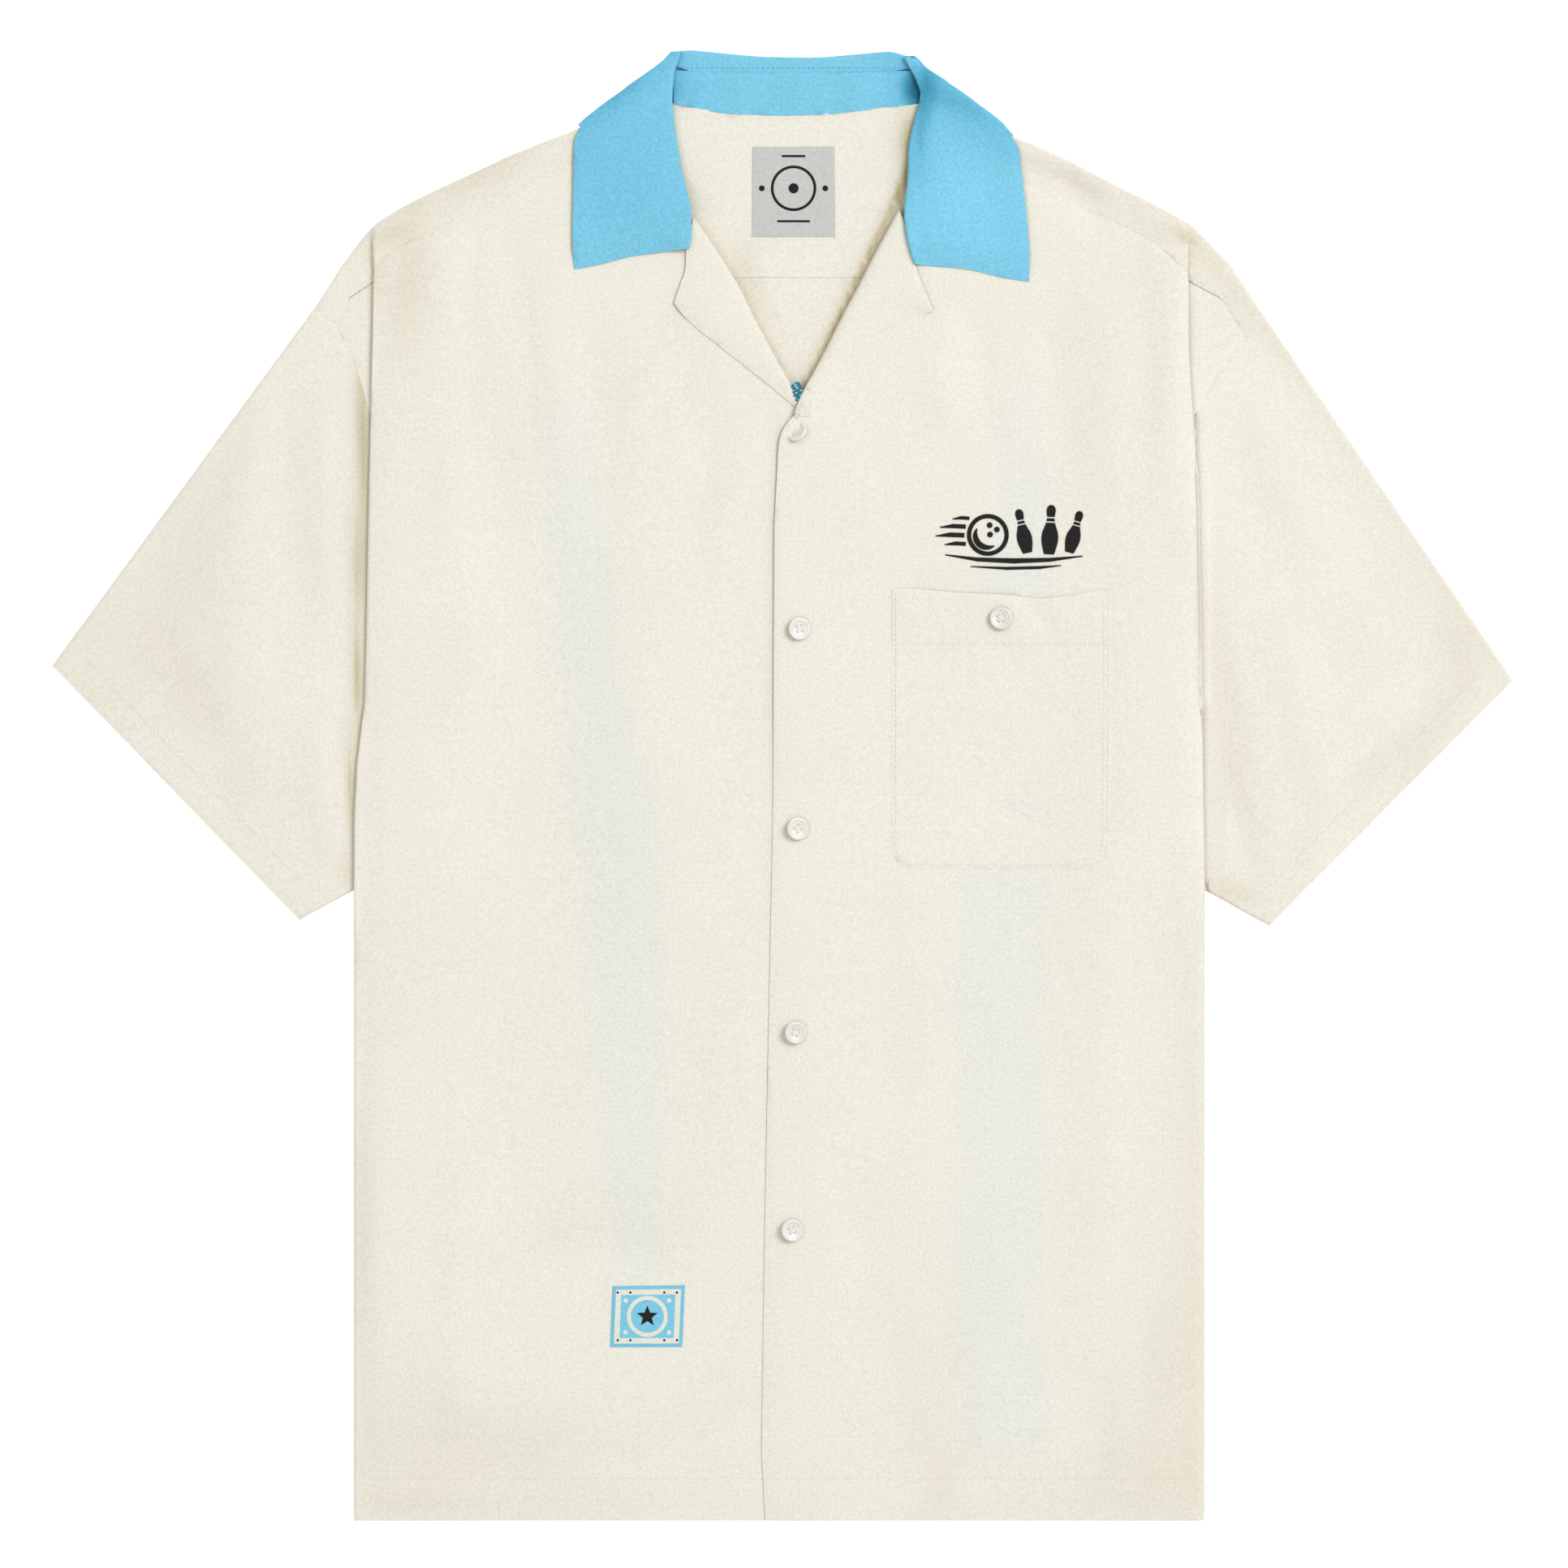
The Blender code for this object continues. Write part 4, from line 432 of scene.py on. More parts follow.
# Rows of stitches. Columns: path, carriers, whether it is underneath.
HEM_ROWS = (
    (((-233.5, HEM_Y), (-14.5, HEM_Y)), ("front_right", "front_left"), False),
    (((-10.0, HEM_Y), (231.0, HEM_Y)), ("front_left",), False),
    (((-232.0, HEM_Y), (230.0, HEM_Y)), ("back",), True))
STAND_ROWS = ((((-60.0, 397.3), (-20.0, 397.2), (30.0, 397.2), (74.0, 397.3)), ("collar_leaf",), False),)
STAND_EDGE_ROWS = ((((-60.0, 394.9), (-20.0, 394.8), (30.0, 394.8), (74.0, 394.9)),
                    ("collar_stand",), False),)
POCKET_BAND_ROW = ((62.6, POCKET_BAND_Y), (180.4, POCKET_BAND_Y))
POCKET_SEAMS = (2.0, 4.6)  # distances from the pocket's edge; the second only at its outer side
SLEEVE_HEM_IN = 15.5       # distance of the stitching from the sleeve's end
SLEEVE_HEM_ENDS = (11.0, 12.0)    # how far it stops short of the outer and the inner edge
# Columns: node, side, outer end x, y, inner end x, y.
SLEEVE_ENDS = (("sleeve_right", -1, (404.8, 66.2), (267.5, -75.0)),
               ("sleeve_left", 1, (404.8, 58.1), (269.3, -78.2)))
STITCH_SINK = (0.12, -0.05)  # height of a stitch's middle above and below, as shares of the thread
STITCH_SPAN = 0.8            # share of a stitch over which the cloth sets its slope

# Lamps. Columns: name, place in metres, size, share of the key light's power.
LAMPS = (("key", (4.5, 2.8, 6.6), 4.4, 1.0), ("fill", (-4.8, -1.8, 7.2), 4.8, 0.25))
CAMERA_OFFSET = (0.7, 0.45)
SENSOR_WIDTH = 36.0
FLOOR_DEPTH = 0.4
FLOOR_SIZE = 4.0           # half size in metres
VIEW_END = 100.0

cloth_tops = {}            # outside surface of each finished piece, by name


# ---------------------------------------------------------------- settings
class ShirtSizes(bpy.types.PropertyGroup):
    """Sizes of the cloth, thread and folds"""

    cell: FloatProperty(name="Cloth cell", description="Size of the cells of the cloth meshes",
                        default=4.0 * MM, min=2.0 * MM, unit="LENGTH", precision=5)
    cloth: FloatProperty(name="Cloth thickness", description="Thickness of the cloth",
                         default=0.6 * MM, min=0.1 * MM, unit="LENGTH", precision=5)
    evening: IntProperty(name="Evening", description="Rounds that even out the flat facets",
                         default=34, min=0)
    folds: FloatProperty(name="Fold depth", description="Depth of the folds and waves",
                         default=1.0, min=0.0, subtype="FACTOR")
    stitch: FloatProperty(name="Stitch length", description="Length of one stitch",
                          default=2.1 * MM, min=0.5 * MM, unit="LENGTH", precision=5)
    stitch_gap: FloatProperty(name="Stitch gap", description="Space between two stitches",
                              default=0.7 * MM, min=0.1 * MM, unit="LENGTH", precision=5)
    thread: FloatProperty(name="Thread", description="Thickness of the sewing thread",
                          default=0.46 * MM, min=0.1 * MM, unit="LENGTH", precision=5)


class ShirtColours(bpy.types.PropertyGroup):
    """Colours of the cloth, thread and trimmings, linear"""

    ivory: FloatVectorProperty(name="Body cloth", description="Colour of the body cloth",
                               default=(0.772, 0.742, 0.655), size=3, min=0, max=1, subtype="COLOR")
    sky: FloatVectorProperty(name="Collar cloth", description="Colour of the collar",
                             default=(0.192, 0.537, 0.71), size=3, min=0, max=1, subtype="COLOR")
    label: FloatVectorProperty(name="Label", description="Colour of the neck label",
                               default=(0.54, 0.537, 0.52), size=3, min=0, max=1, subtype="COLOR")
    cream: FloatVectorProperty(name="Patch cream", description="Light colour of the hem patch",
                               default=(0.72, 0.72, 0.63), size=3, min=0, max=1, subtype="COLOR")
    ink: FloatVectorProperty(name="Dark thread", description="Colour of the chest embroidery",
                             default=(0.005, 0.004, 0.005), size=3, min=0, max=1, subtype="COLOR")
    pearl: FloatVectorProperty(name="Buttons", description="Colour of the buttons",
                               default=(0.71, 0.695, 0.645), size=3, min=0, max=1, subtype="COLOR")


class StageSettings(bpy.types.PropertyGroup):
    """Camera and lights"""

    camera_height: FloatProperty(name="Camera height", description="Height of the camera",
                                 default=4.5, min=1.0, unit="LENGTH")
    view_width: FloatProperty(name="View width", description="Width of the view at the surface",
                              default=0.8694, min=0.1, unit="LENGTH")
    key: FloatProperty(name="Key light", description="Power of the soft light from the right",
                       default=415.0, min=0.0)
    key_tint: FloatVectorProperty(name="Key tint", description="Colour of the lights", size=3,
                                  default=(0.965, 1.0, 1.10), min=0, max=2, subtype="COLOR")
    room_tint: FloatVectorProperty(name="Room tint", description="Colour of the light all round",
                                   size=3, default=(1.025, 1.0, 0.92), min=0, max=2, subtype="COLOR")
    sky_light: FloatProperty(name="Room light", description="Strength of the light all round",
                             default=0.61, min=0.0)


def sizes():
    return bpy.context.scene.shirt_sizes


def colours():
    return bpy.context.scene.shirt_colours


# ---------------------------------------------------------------- materials
def add_node(tree, kind, inputs=None, **settings):
    """Add a shader node; inputs may be values or sockets of other nodes."""
    made = tree.nodes.new(kind)
    for name, value in settings.items():
        setattr(made, name, value)
    for key, value in (inputs or {}).items():
        if isinstance(value, bpy.types.NodeSocket):
            tree.links.new(value, made.inputs[key])
        else:
            made.inputs[key].default_value = value
    return made


def maths(tree, operation, *values, clamp=False):
    made = add_node(tree, "ShaderNodeMath", dict(enumerate(values)), operation=operation)
    made.use_clamp = clamp
    return made.outputs[0]


def summed(tree, start, *terms, clamp=False):
    """A number plus terms. Columns of a term: socket, middle that is taken off it, weight."""
    total = start
    for socket, middle, weight in terms:
        part = maths(tree, "MULTIPLY", maths(tree, "SUBTRACT", socket, middle), weight)
        total = maths(tree, "ADD", part, total)
    return maths(tree, "ADD", total, 0.0, clamp=True) if clamp else total


def mix_colours(tree, share, first, second):
    made = add_node(tree, "ShaderNodeMix", {0: share, 6: first, 7: second}, data_type="RGBA")
    return made.outputs[2]


def multiplied(tree, first, factor):
    made = add_node(tree, "ShaderNodeMix", {0: 1.0, 6: first, 7: factor}, data_type="RGBA",
                    blend_type="MULTIPLY")
    return made.outputs[2]


def rgba(colour, scale=1.0):
    return (*[min(part * scale, 1.0) for part in colour], 1.0)


def noise_of(tree, place, scale, detail=2.0, rough=0.5):
    made = add_node(tree, "ShaderNodeTexNoise",
                    {"Vector": place, "Scale": scale, "Detail": detail, "Roughness": rough})
    return made.outputs["Fac"]


def stretched(tree, place, scale):
    return add_node(tree, "ShaderNodeMapping", {"Vector": place, "Scale": scale}).outputs[0]


def wave_of(tree, place, scale, way, distortion, detail=None):
    inputs = {"Vector": place, "Scale": scale, "Distortion": distortion}
    if detail is not None:
        inputs["Detail"] = detail
    return add_node(tree, "ShaderNodeTexWave", inputs, bands_direction=way).outputs["Fac"]


def weave_height(tree, place, pitch):
    """Over-and-under pattern of plain-woven threads."""
    waves = [wave_of(tree, place, WAVE_LENGTH / pitch, way, 0.3) for way in "XY"]
    return maths(tree, "MULTIPLY", *waves)


def table_value(tree, y, table, column):
    """Straight steps between the rows of a table, read at a height."""
    value = table[0][column] * MM
    for low, high in zip(table, table[1:]):
        ramp = add_node(tree, "ShaderNodeMapRange",
                        {"Value": y, "From Min": low[0] * MM, "From Max": high[0] * MM,
                         "To Min": 0.0, "To Max": (high[column] - low[column]) * MM})
        value = maths(tree, "ADD", value, ramp.outputs[0])
    return value


def stripe_mask(tree, place, table, softness, wobble=0.0, fade=0.0):
    """1 inside a stripe between the table's sides; its edges soften, wobble and fade at the ends."""
    parts = add_node(tree, "ShaderNodeSeparateXYZ", {0: place})
    x, y = parts.outputs["X"], parts.outputs["Y"]
    if wobble:
        drift = maths(tree, "SUBTRACT", noise_of(tree, place, 22.0, 3.0, 0.6), 0.5)
        x = maths(tree, "ADD", x, maths(tree, "MULTIPLY", drift, wobble * MM))
    mask = 1.0
    for column, way in ((1, 1.0), (2, -1.0)):
        side = table_value(tree, y, table, column)
        inside = maths(tree, "MULTIPLY", maths(tree, "SUBTRACT", x, side), way)
        edge = add_node(tree, "ShaderNodeMapRange",
                        {"Value": inside, "From Min": -softness * MM, "From Max": softness * MM},
                        interpolation_type="SMOOTHSTEP")
        mask = maths(tree, "MULTIPLY", mask, edge.outputs[0])
    if fade:
        for start, reach in ((table[0][0], fade * 0.25), (table[-1][0], -fade)):
            end = add_node(tree, "ShaderNodeMapRange", {"Value": y, "From Min": start * MM,
                                                        "From Max": (start + reach) * MM})
            mask = maths(tree, "MULTIPLY", mask, end.outputs[0])
    return mask


def new_material(name):
    material = bpy.data.materials.new(name)
    material.use_nodes = True
    tree = material.node_tree
    return material, tree, add_node(tree, "ShaderNodeTexCoord").outputs["Object"]


def dress_shader(tree, base, values, height=None, strength=0.0, distance=0.0):
    """Give the shader its colour, its bumps and its other values."""
    shader = tree.nodes["Principled BSDF"]
    tree.links.new(base, shader.inputs["Base Color"])
    if height is not None:
        bump = add_node(tree, "ShaderNodeBump",
                        {"Height": height, "Strength": strength, "Distance": distance * MM})
        tree.links.new(bump.outputs[0], shader.inputs["Normal"])
    for name, value in values.items():
        shader.inputs[name].default_value = value


def painted_shading(tree, base, painted_shades):
    """A colour with painted shade or painted light from the cloth's tone, and painted shade in its creases.
    """
    # The tone attribute is painted shade; below zero it is painted light.
    painted_shade_amount = add_node(tree, "ShaderNodeAttribute", attribute_name="tone").outputs["Fac"]
    for depth, shade in enumerate(painted_shades[:3]):
        share = maths(tree, "SUBTRACT", painted_shade_amount, float(depth), clamp=True)
        base = mix_colours(tree, share, base, multiplied(tree, base, (*shade, 1.0)))
    # Painted light where the tone is below zero.
    light = maths(tree, "MULTIPLY", painted_shade_amount, -1.0, clamp=True)
    base = mix_colours(tree, light, base, multiplied(tree, base, (*PAINTED_LIGHTER, 1.0)))
    # Painted shade in creases and under edges, from ambient occlusion.
    crease = maths(tree, "MULTIPLY", painted_crease_share(tree), maths(tree, "SUBTRACT", 1.0, light))
    return mix_colours(tree, crease, base, multiplied(tree, base, (*painted_shades[3], 1.0)))


def cloth_material(name, colour, pitch=0.52, stripes=None, relief=0.35, sheen=0.25, grain=1.0,
                   painted_shades=IVORY_PAINTED_SHADES):
    """Plain-woven cloth: threads, slubs, soft mottling, a little nap, painted shade and light from its tone
    and painted warm shade in its creases.
    """
    material, tree, place = new_material(name)
    mottle = noise_of(tree, place, 14.0, 3.0)
    speck = noise_of(tree, place, 620.0, 2.0, 0.6)
    weft = noise_of(tree, stretched(tree, place, (55.0, 900.0, 55.0)), 1.0)
    warp = noise_of(tree, stretched(tree, place, (900.0, 45.0, 45.0)), 1.0)
    slubs = maths(tree, "MAXIMUM", weft, warp)
    tone = summed(tree, 0.35, (speck, 0.5, 1.7 * grain), (slubs, 0.56, 0.35), (mottle, 0.0, 0.3),
                  clamp=True)
    base = mix_colours(tree, tone, rgba(colour, 0.90), rgba(colour, 1.10))
    if stripes == "shown":
        for table in SHOWN_STRIPES:
            base = mix_colours(tree, stripe_mask(tree, place, table, *SHOWN_EDGE), base,
                               multiplied(tree, base, (*SHOWN_TINT, 1.0)))
    if stripes == "woven":
        sky = colours().sky
        for table in BACK_STRIPES:
            base = mix_colours(tree, stripe_mask(tree, place, table, WOVEN_EDGE), base,
                               mix_colours(tree, tone, rgba(sky, 0.94), rgba(sky, 1.06)))
    height = summed(tree, 0.0, (weave_height(tree, place, pitch * MM), 0.0, 0.5), (speck, 0.0, 0.7),
                    (slubs, 0.0, 0.15))
    dress_shader(tree, painted_shading(tree, base, painted_shades),
                 {"Roughness": 0.82, "Specular IOR Level": 0.22, "Sheen Weight": sheen,
                  "Sheen Roughness": 0.45, "Sheen Tint": (1.0, 0.99, 0.96, 1.0)}, height, relief, 0.26)
    return material


def painted_crease_share(tree):
    """How deep a spot of upward cloth lies in a crease or under an edge, as a share of painted crease shade.
    """
    depth = add_node(tree, "ShaderNodeAmbientOcclusion", {"Distance": CREASE_REACH * MM},
                     samples=CREASE_SAMPLES)
    shut = maths(tree, "SUBTRACT", 1.0, depth.outputs["AO"])
    facing = add_node(tree, "ShaderNodeSeparateXYZ",
                      {0: add_node(tree, "ShaderNodeTexCoord").outputs["Normal"]}).outputs["Z"]
    upward = maths(tree, "MULTIPLY", facing, 3.0, clamp=True)
    return maths(tree, "MULTIPLY", maths(tree, "MULTIPLY", shut, PAINTED_CREASE_SHARE), upward, clamp=True)


def thread_material(name, colour, ribs=(1.0, 0.0), gloss=0.45):
    """Embroidery or sewing thread: fine ribs along one way and a soft gloss."""
    material, tree, place = new_material(name)
    angle = math.atan2(ribs[1], ribs[0])
    turned = add_node(tree, "ShaderNodeMapping", {"Vector": place, "Rotation": (0.0, 0.0, angle)})
    rib = wave_of(tree, turned.outputs[0], WAVE_LENGTH / (RIB_PITCH * MM), "X", 0.6, 1.0)
    tone = summed(tree, 0.0, (rib, 0.0, 0.6), (noise_of(tree, place, 900.0), 0.0, 0.5), clamp=True)
    base = mix_colours(tree, tone, rgba(colour, 0.72), rgba([part + 0.004 for part in colour], 1.12))
    dress_shader(tree, base, {"Roughness": gloss, "Specular IOR Level": 0.25, "Sheen Weight": 0.05,
                              "Sheen Roughness": 0.35}, tone, 0.6, 0.15)
    return material


def pearl_material(name):
    """Polished shell: clouded cream with faint pink and blue lights."""
    material, tree, place = new_material(name)
    cloud = noise_of(tree, place, 210.0, 3.0, 0.6)
    layers = wave_of(tree, stretched(tree, place, (1.0, 0.6, 1.0)), 30.0, "DIAGONAL", 9.0, 2.0)
    pearl = colours().pearl
    spread = add_node(tree, "ShaderNodeMapRange", {"Value": cloud, "From Min": 0.36, "From Max": 0.64})
    blue, pink = [rgba([part * share for part, share in zip(pearl, tint)]) for tint in PEARL_TINTS]
    base = mix_colours(tree, spread.outputs[0], blue, pink)
    base = mix_colours(tree, maths(tree, "MULTIPLY", layers, 0.5), base, rgba(pearl, 1.14))
    dress_shader(tree, base, {"Roughness": 0.24, "Coat Weight": 0.35, "Coat Roughness": 0.1,
                              "Specular IOR Level": 0.45}, cloud, 0.15, 0.1)
    return material


def floor_material(name):
    """Plain white board with a little glow of its own."""
    material, tree, place = new_material(name)
    base = mix_colours(tree, noise_of(tree, place, 40.0), (0.95, 0.95, 0.95, 1.0),
                       (0.97, 0.97, 0.97, 1.0))
    dress_shader(tree, base, {"Emission Color": (1.0, 1.0, 1.0, 1.0), "Emission Strength": 0.45,
                              "Roughness": 0.9, "Specular IOR Level": 0.1})
    return material


def material_for(name):
    """The material of a named finish, made when it is first asked for."""
    if name in bpy.data.materials:
        return bpy.data.materials[name]
    colour = colours()
    makers = {
        "ivory": lambda: cloth_material(name, colour.ivory),
        "front": lambda: cloth_material(name, colour.ivory, stripes="shown"),
        "back": lambda: cloth_material(name, colour.ivory, stripes="woven"),
        "sky": lambda: cloth_material(name, colour.sky, sheen=0.2, grain=1.6, painted_shades=SKY_PAINTED_SHADES),
        "label": lambda: cloth_material(name, colour.label, 0.4, relief=0.5, sheen=0.05),
        "cream_weave": lambda: cloth_material(name, colour.cream, 0.5, relief=0.5, sheen=0.05),
        "blue_weave": lambda: cloth_material(name, colour.sky, 0.5, relief=0.5, sheen=0.05),
        "ink_thread": lambda: thread_material(name, colour.ink, (0.8, 0.6)),
        "ink_weave": lambda: thread_material(name, colour.ink, (1.0, 0.0), 0.7),
        "blue_thread": lambda: thread_material(name, [part * 0.8 for part in colour.sky]),
        "sky_thread": lambda: thread_material(name, [part * 1.25 for part in colour.sky]),
        "blue_cord": lambda: thread_material(name, CORD_BLUE),
        "blue_satin": lambda: thread_material(name, colour.sky, (1.0, 1.0), 0.6),
        "ivory_thread": lambda: thread_material(name, [part * 1.06 for part in colour.ivory]),
        "pearl": lambda: pearl_material(name),
        "floor": lambda: floor_material(name),
    }
    return makers[name]()


# ---------------------------------------------------------------- folds as heights
def ease(value):
    value = np.clip(value, 0.0, 1.0)
    return value * value * (3.0 - 2.0 * value)


def ridge(across):
    return np.exp(-across ** 2)


def ledge(across):
    fade = np.exp(-(np.maximum(across, 0.0) / STEP_FADE) ** 2)
    return 0.5 * (1.0 + np.tanh(across)) * fade


def fold_heights(places, table, section=ridge):
    """Height in millimetres that a table of folds adds at places given in millimetres."""
    total = np.zeros(len(places))
    for x0, y0, x1, y1, bow, width, height in table:
        start, way = np.array((x0, y0)), np.array((x1 - x0, y1 - y0), dtype=float)
        length = math.hypot(*way)
        way /= length
        along = (places - start) @ way / length
        arc = bow * 4.0 * np.clip(along, 0.0, 1.0) * (1.0 - np.clip(along, 0.0, 1.0))
        across = (places - start) @ np.array((-way[1], way[0])) - arc
        ends = ease((along + FOLD_RUN) / FOLD_FADE) * ease((1.0 + FOLD_RUN - along) / FOLD_FADE)
        total += height * section(across / width) * ends
    return total


def slow_waves(places):
    """Gentle unevenness of cloth that was smoothed out by hand."""
    total = np.zeros(len(places))
    for seed, (across, along, height) in enumerate(WAVES):
        total += height * np.array([noise.noise(Vector((x / across, y / along, 7.3 + seed)))
                                    for x, y in places])
    return total


def free_share(places):
    """1 where nothing presses on the cloth, 0 where a side tuck lies under it."""
    table = np.array(SIDE_FOLD)
    distance = np.abs(places[:, 0])
    fold = np.interp(places[:, 1], table[:, 0], table[:, 1])
    depth = np.interp(places[:, 1], table[:, 0], table[:, 2])
    outside = ease((distance - fold - TUCK_OUTSIDE[0]) / TUCK_OUTSIDE[1])
    inside = ease((fold - depth - distance + TUCK_INSIDE[0]) / TUCK_INSIDE[1])
    return np.maximum(outside, inside)


def below(y, top):
    """0 down to a height and easing to 1 below it. Top: the height, the length of the easing."""
    height, length = top
    return ease((height - y) / length)


def crown(places):
    """How much the fronts lie higher away from their side folds, hem and shoulders."""
    x, y = places.T
    inside = np.interp(y, *np.array(SIDE_FOLD)[:, :2].T) - np.abs(x)
    rise = CROWN * ease(inside / CROWN_REACH) * ease((y - HEM_EDGE_Y) / CROWN_REACH)
    edge = (1.0 - np.clip(inside / EDGE_REACH, 0.0, 1.0)) ** 2 * (inside > 0.0)
    drop = np.where(x < 0.0, *EDGE_DROP)
    return rise * below(y, CROWN_TOP) - drop * edge * below(y, EDGE_TOP)


def top_heights(places):
    rise = fold_heights(places, TOP_FOLDS) + fold_heights(places, TOP_STEPS, ledge)
    return (rise + slow_waves(places)) * free_share(places) + crown(places)


def painted_shade_shares(places, node):
    """How much painted shade the cloth gets: 1 a little, 2 a lot, 3 most; below 0 painted light."""
    total = np.zeros(len(places))
    for x, y, long, short, turn, share in PAINTED_SHADE_PATCHES.get(node, ()):
        along = np.array((math.cos(math.radians(turn)), math.sin(math.radians(turn))))
        offset = places - np.array((x, y))
        first, second = offset @ along / long, offset @ np.array((-along[1], along[0])) / short
        total += share * np.exp(-first ** 2 - second ** 2)
    return total


# ---------------------------------------------------------------- cloth from the frame
def outside_wall(node, outside):
    """The outside of a cloth solid as an open sheet, without its rim and its inside."""
    work = bmesh.new()
    work.from_mesh(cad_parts[node].data)
    bmesh.ops.remove_doubles(work, verts=work.verts, dist=MERGE)
    rim = [face for face in work.faces
           if any(abs(edge.calc_length() - WALL) < WALL_ERROR for edge in face.edges)]
    bmesh.ops.delete(work, geom=rim, context="FACES")
    walls = connected_faces(work)
    if len(walls) != 2:
        raise RuntimeError(f"{node} has {len(walls)} walls")
    scores = [wall_score(wall, outside) for wall in walls]
    inner = walls[scores.index(min(scores))]
    bmesh.ops.delete(work, geom=inner, context="FACES")
    return work


def connected_faces(work):
    """Groups of faces that share edges."""
    work.faces.ensure_lookup_table()
    seen, groups = set(), []
    for first in work.faces:
        if first.index in seen:
            continue
        seen.add(first.index)
        group, front = [], [first]
        while front:
            face = front.pop()
            group.append(face)
            for edge in face.edges:
                for other in edge.link_faces:
                    if other.index not in seen:
                        seen.add(other.index)
                        front.append(other)
        groups.append(group)
    return groups


def wall_score(wall, outside):
    """How much a wall faces the way that the outside does."""
    areas = np.array([face.calc_area() for face in wall])
    rises = np.array([face.normal.z for face in wall])
    heights = np.array([face.calc_center_median().z for face in wall])
    if outside == "round":
        return float(np.sum(areas * rises * (heights - np.average(heights, weights=areas))))
    return float(np.sum(areas * rises)) * (1.0 if outside == "up" else -1.0)


def cut_to_cells(work, cell):
    """Cut a sheet into square cells and take out the flat facets' own edges."""
    facet = work.edges.layers.int.new("facet")
    for edge in work.edges:
        if len(edge.link_faces) == 2 and edge.calc_face_angle(math.pi) < FACET_ANGLE:
            edge[facet] = 1
    places = np.array([vertex.co for vertex in work.verts])
    for axis in (0, 1):
        low, high = places[:, axis].min(), places[:, axis].max()
        for index in range(math.ceil(low / cell), math.floor(high / cell) + 1):
            point, way = Vector(), Vector()
            point[axis], way[axis] = index * cell, 1.0
            bmesh.ops.bisect_plane(work, geom=work.verts[:] + work.edges[:] + work.faces[:],
                                   dist=MERGE / 10, plane_co=point, plane_no=way)
    spare = [edge for edge in work.edges if edge[facet] and len(edge.link_faces) == 2]
    bmesh.ops.dissolve_edges(work, edges=spare, use_verts=False, use_face_split=False)
    lone = [vertex for vertex in work.verts
            if len(vertex.link_edges) == 2 and not vertex.is_boundary]
    bmesh.ops.dissolve_verts(work, verts=lone)
    work.edges.layers.int.remove(facet)


def sheet_arrays(work):
    work.normal_update()
    work.verts.index_update()
    places = np.array([vertex.co for vertex in work.verts])
    rises = np.array([vertex.normal.z for vertex in work.verts])
    return places, rises


def write_places(work, places):
    for vertex, place in zip(work.verts, places):
        vertex.co = place


def write_heights(work, heights):
    for vertex, height in zip(work.verts, heights):
        vertex.co.z = float(height)


def neighbours(work):
    """Index pairs of the vertices that an edge joins."""
    return np.array([[vertex.index for vertex in edge.verts] for edge in work.edges])


def level_places(work):
    """True at the vertices whose faces all lie level."""
    return np.array([all(abs(face.normal.z) > LEVEL for face in vertex.link_faces)
                     for vertex in work.verts])


def even_out(work, rounds):
    """Even out the flat facets of the level parts; folds keep their shape."""
    places, _ = sheet_arrays(work)
    heights = places[:, 2].copy()
    level, pairs = level_places(work), neighbours(work)
    count = np.bincount(pairs.ravel(), minlength=len(heights))
    for _ in range(rounds):
        total = np.bincount(pairs[:, 0], heights[pairs[:, 1]], len(heights))
        total += np.bincount(pairs[:, 1], heights[pairs[:, 0]], len(heights))
        change = 0.5 * (total / np.maximum(count, 1) - heights)
        heights[level] += change[level]
    write_heights(work, heights)


def round_off(work, rounds):
    """Round the facets of folds and outlines; corners stay and nothing shrinks."""
    work.verts.index_update()
    places = np.array([vertex.co for vertex in work.verts])
    rim = np.array([vertex.is_boundary for vertex in work.verts])
    pairs = neighbours(work)
    on_rim = np.array([edge.is_boundary for edge in work.edges])
    length = np.linalg.norm(places[pairs[:, 0]] - places[pairs[:, 1]], axis=1)
    both = np.vstack((pairs, pairs[:, ::-1]))
    weight = np.tile(np.where(on_rim, 1.0, (length / MM) ** 2), 2)
    weight[rim[both[:, 0]] & ~np.tile(on_rim, 2)] = 0.0
    fixed = level_places(work) & ~rim
    for vertex in work.verts:
        if not vertex.is_boundary:
            continue
        ways = [(edge.other_vert(vertex).co - vertex.co).normalized() for edge in vertex.link_edges
                if edge.is_boundary]
        if len(ways) != 2 or ways[0].dot(-ways[1]) < math.cos(CORNER_ANGLE):
            fixed[vertex.index] = True
    total = np.maximum(np.bincount(both[:, 0], weight, len(places)), 1e-9)
    for factor in (0.5, -0.51) * rounds:
        mean = np.stack([np.bincount(both[:, 0], weight * places[both[:, 1], axis], len(places))
                         for axis in range(3)], axis=1) / total[:, None]
        change = factor * (mean - places)
        places[~fixed] += change[~fixed]
    write_places(work, places)


def draw_out(work, node):
    """Draw the outline out where folds meet at a corner."""
    places, _ = sheet_arrays(work)
    flat, height = places[:, :2] / MM, places[:, 2] / MM
    for x, y, way_x, way_y, reach, low, high in PULLS.get(node, ()):
        share = np.exp(-((flat - np.array((x, y))) ** 2).sum(axis=1) / reach ** 2)
        share *= (height >= low) & (height <= high)
        places[:, :2] += share[:, None] * np.array((way_x, way_y)) * MM
    write_places(work, places)


def surfaces_at(x, y, carriers):
    """Heights at which a line straight down meets the carriers' surfaces."""
    hits = [cloth_tops[name].ray_cast(Vector((x, y, 1.0)), -UP)[0] for name in carriers]
    return [hit.z for hit in hits if hit]


def press_shares(node, beside):
    share, reach, _, _ = PRESSED[node]
    return share * ease(1.0 - beside / reach)


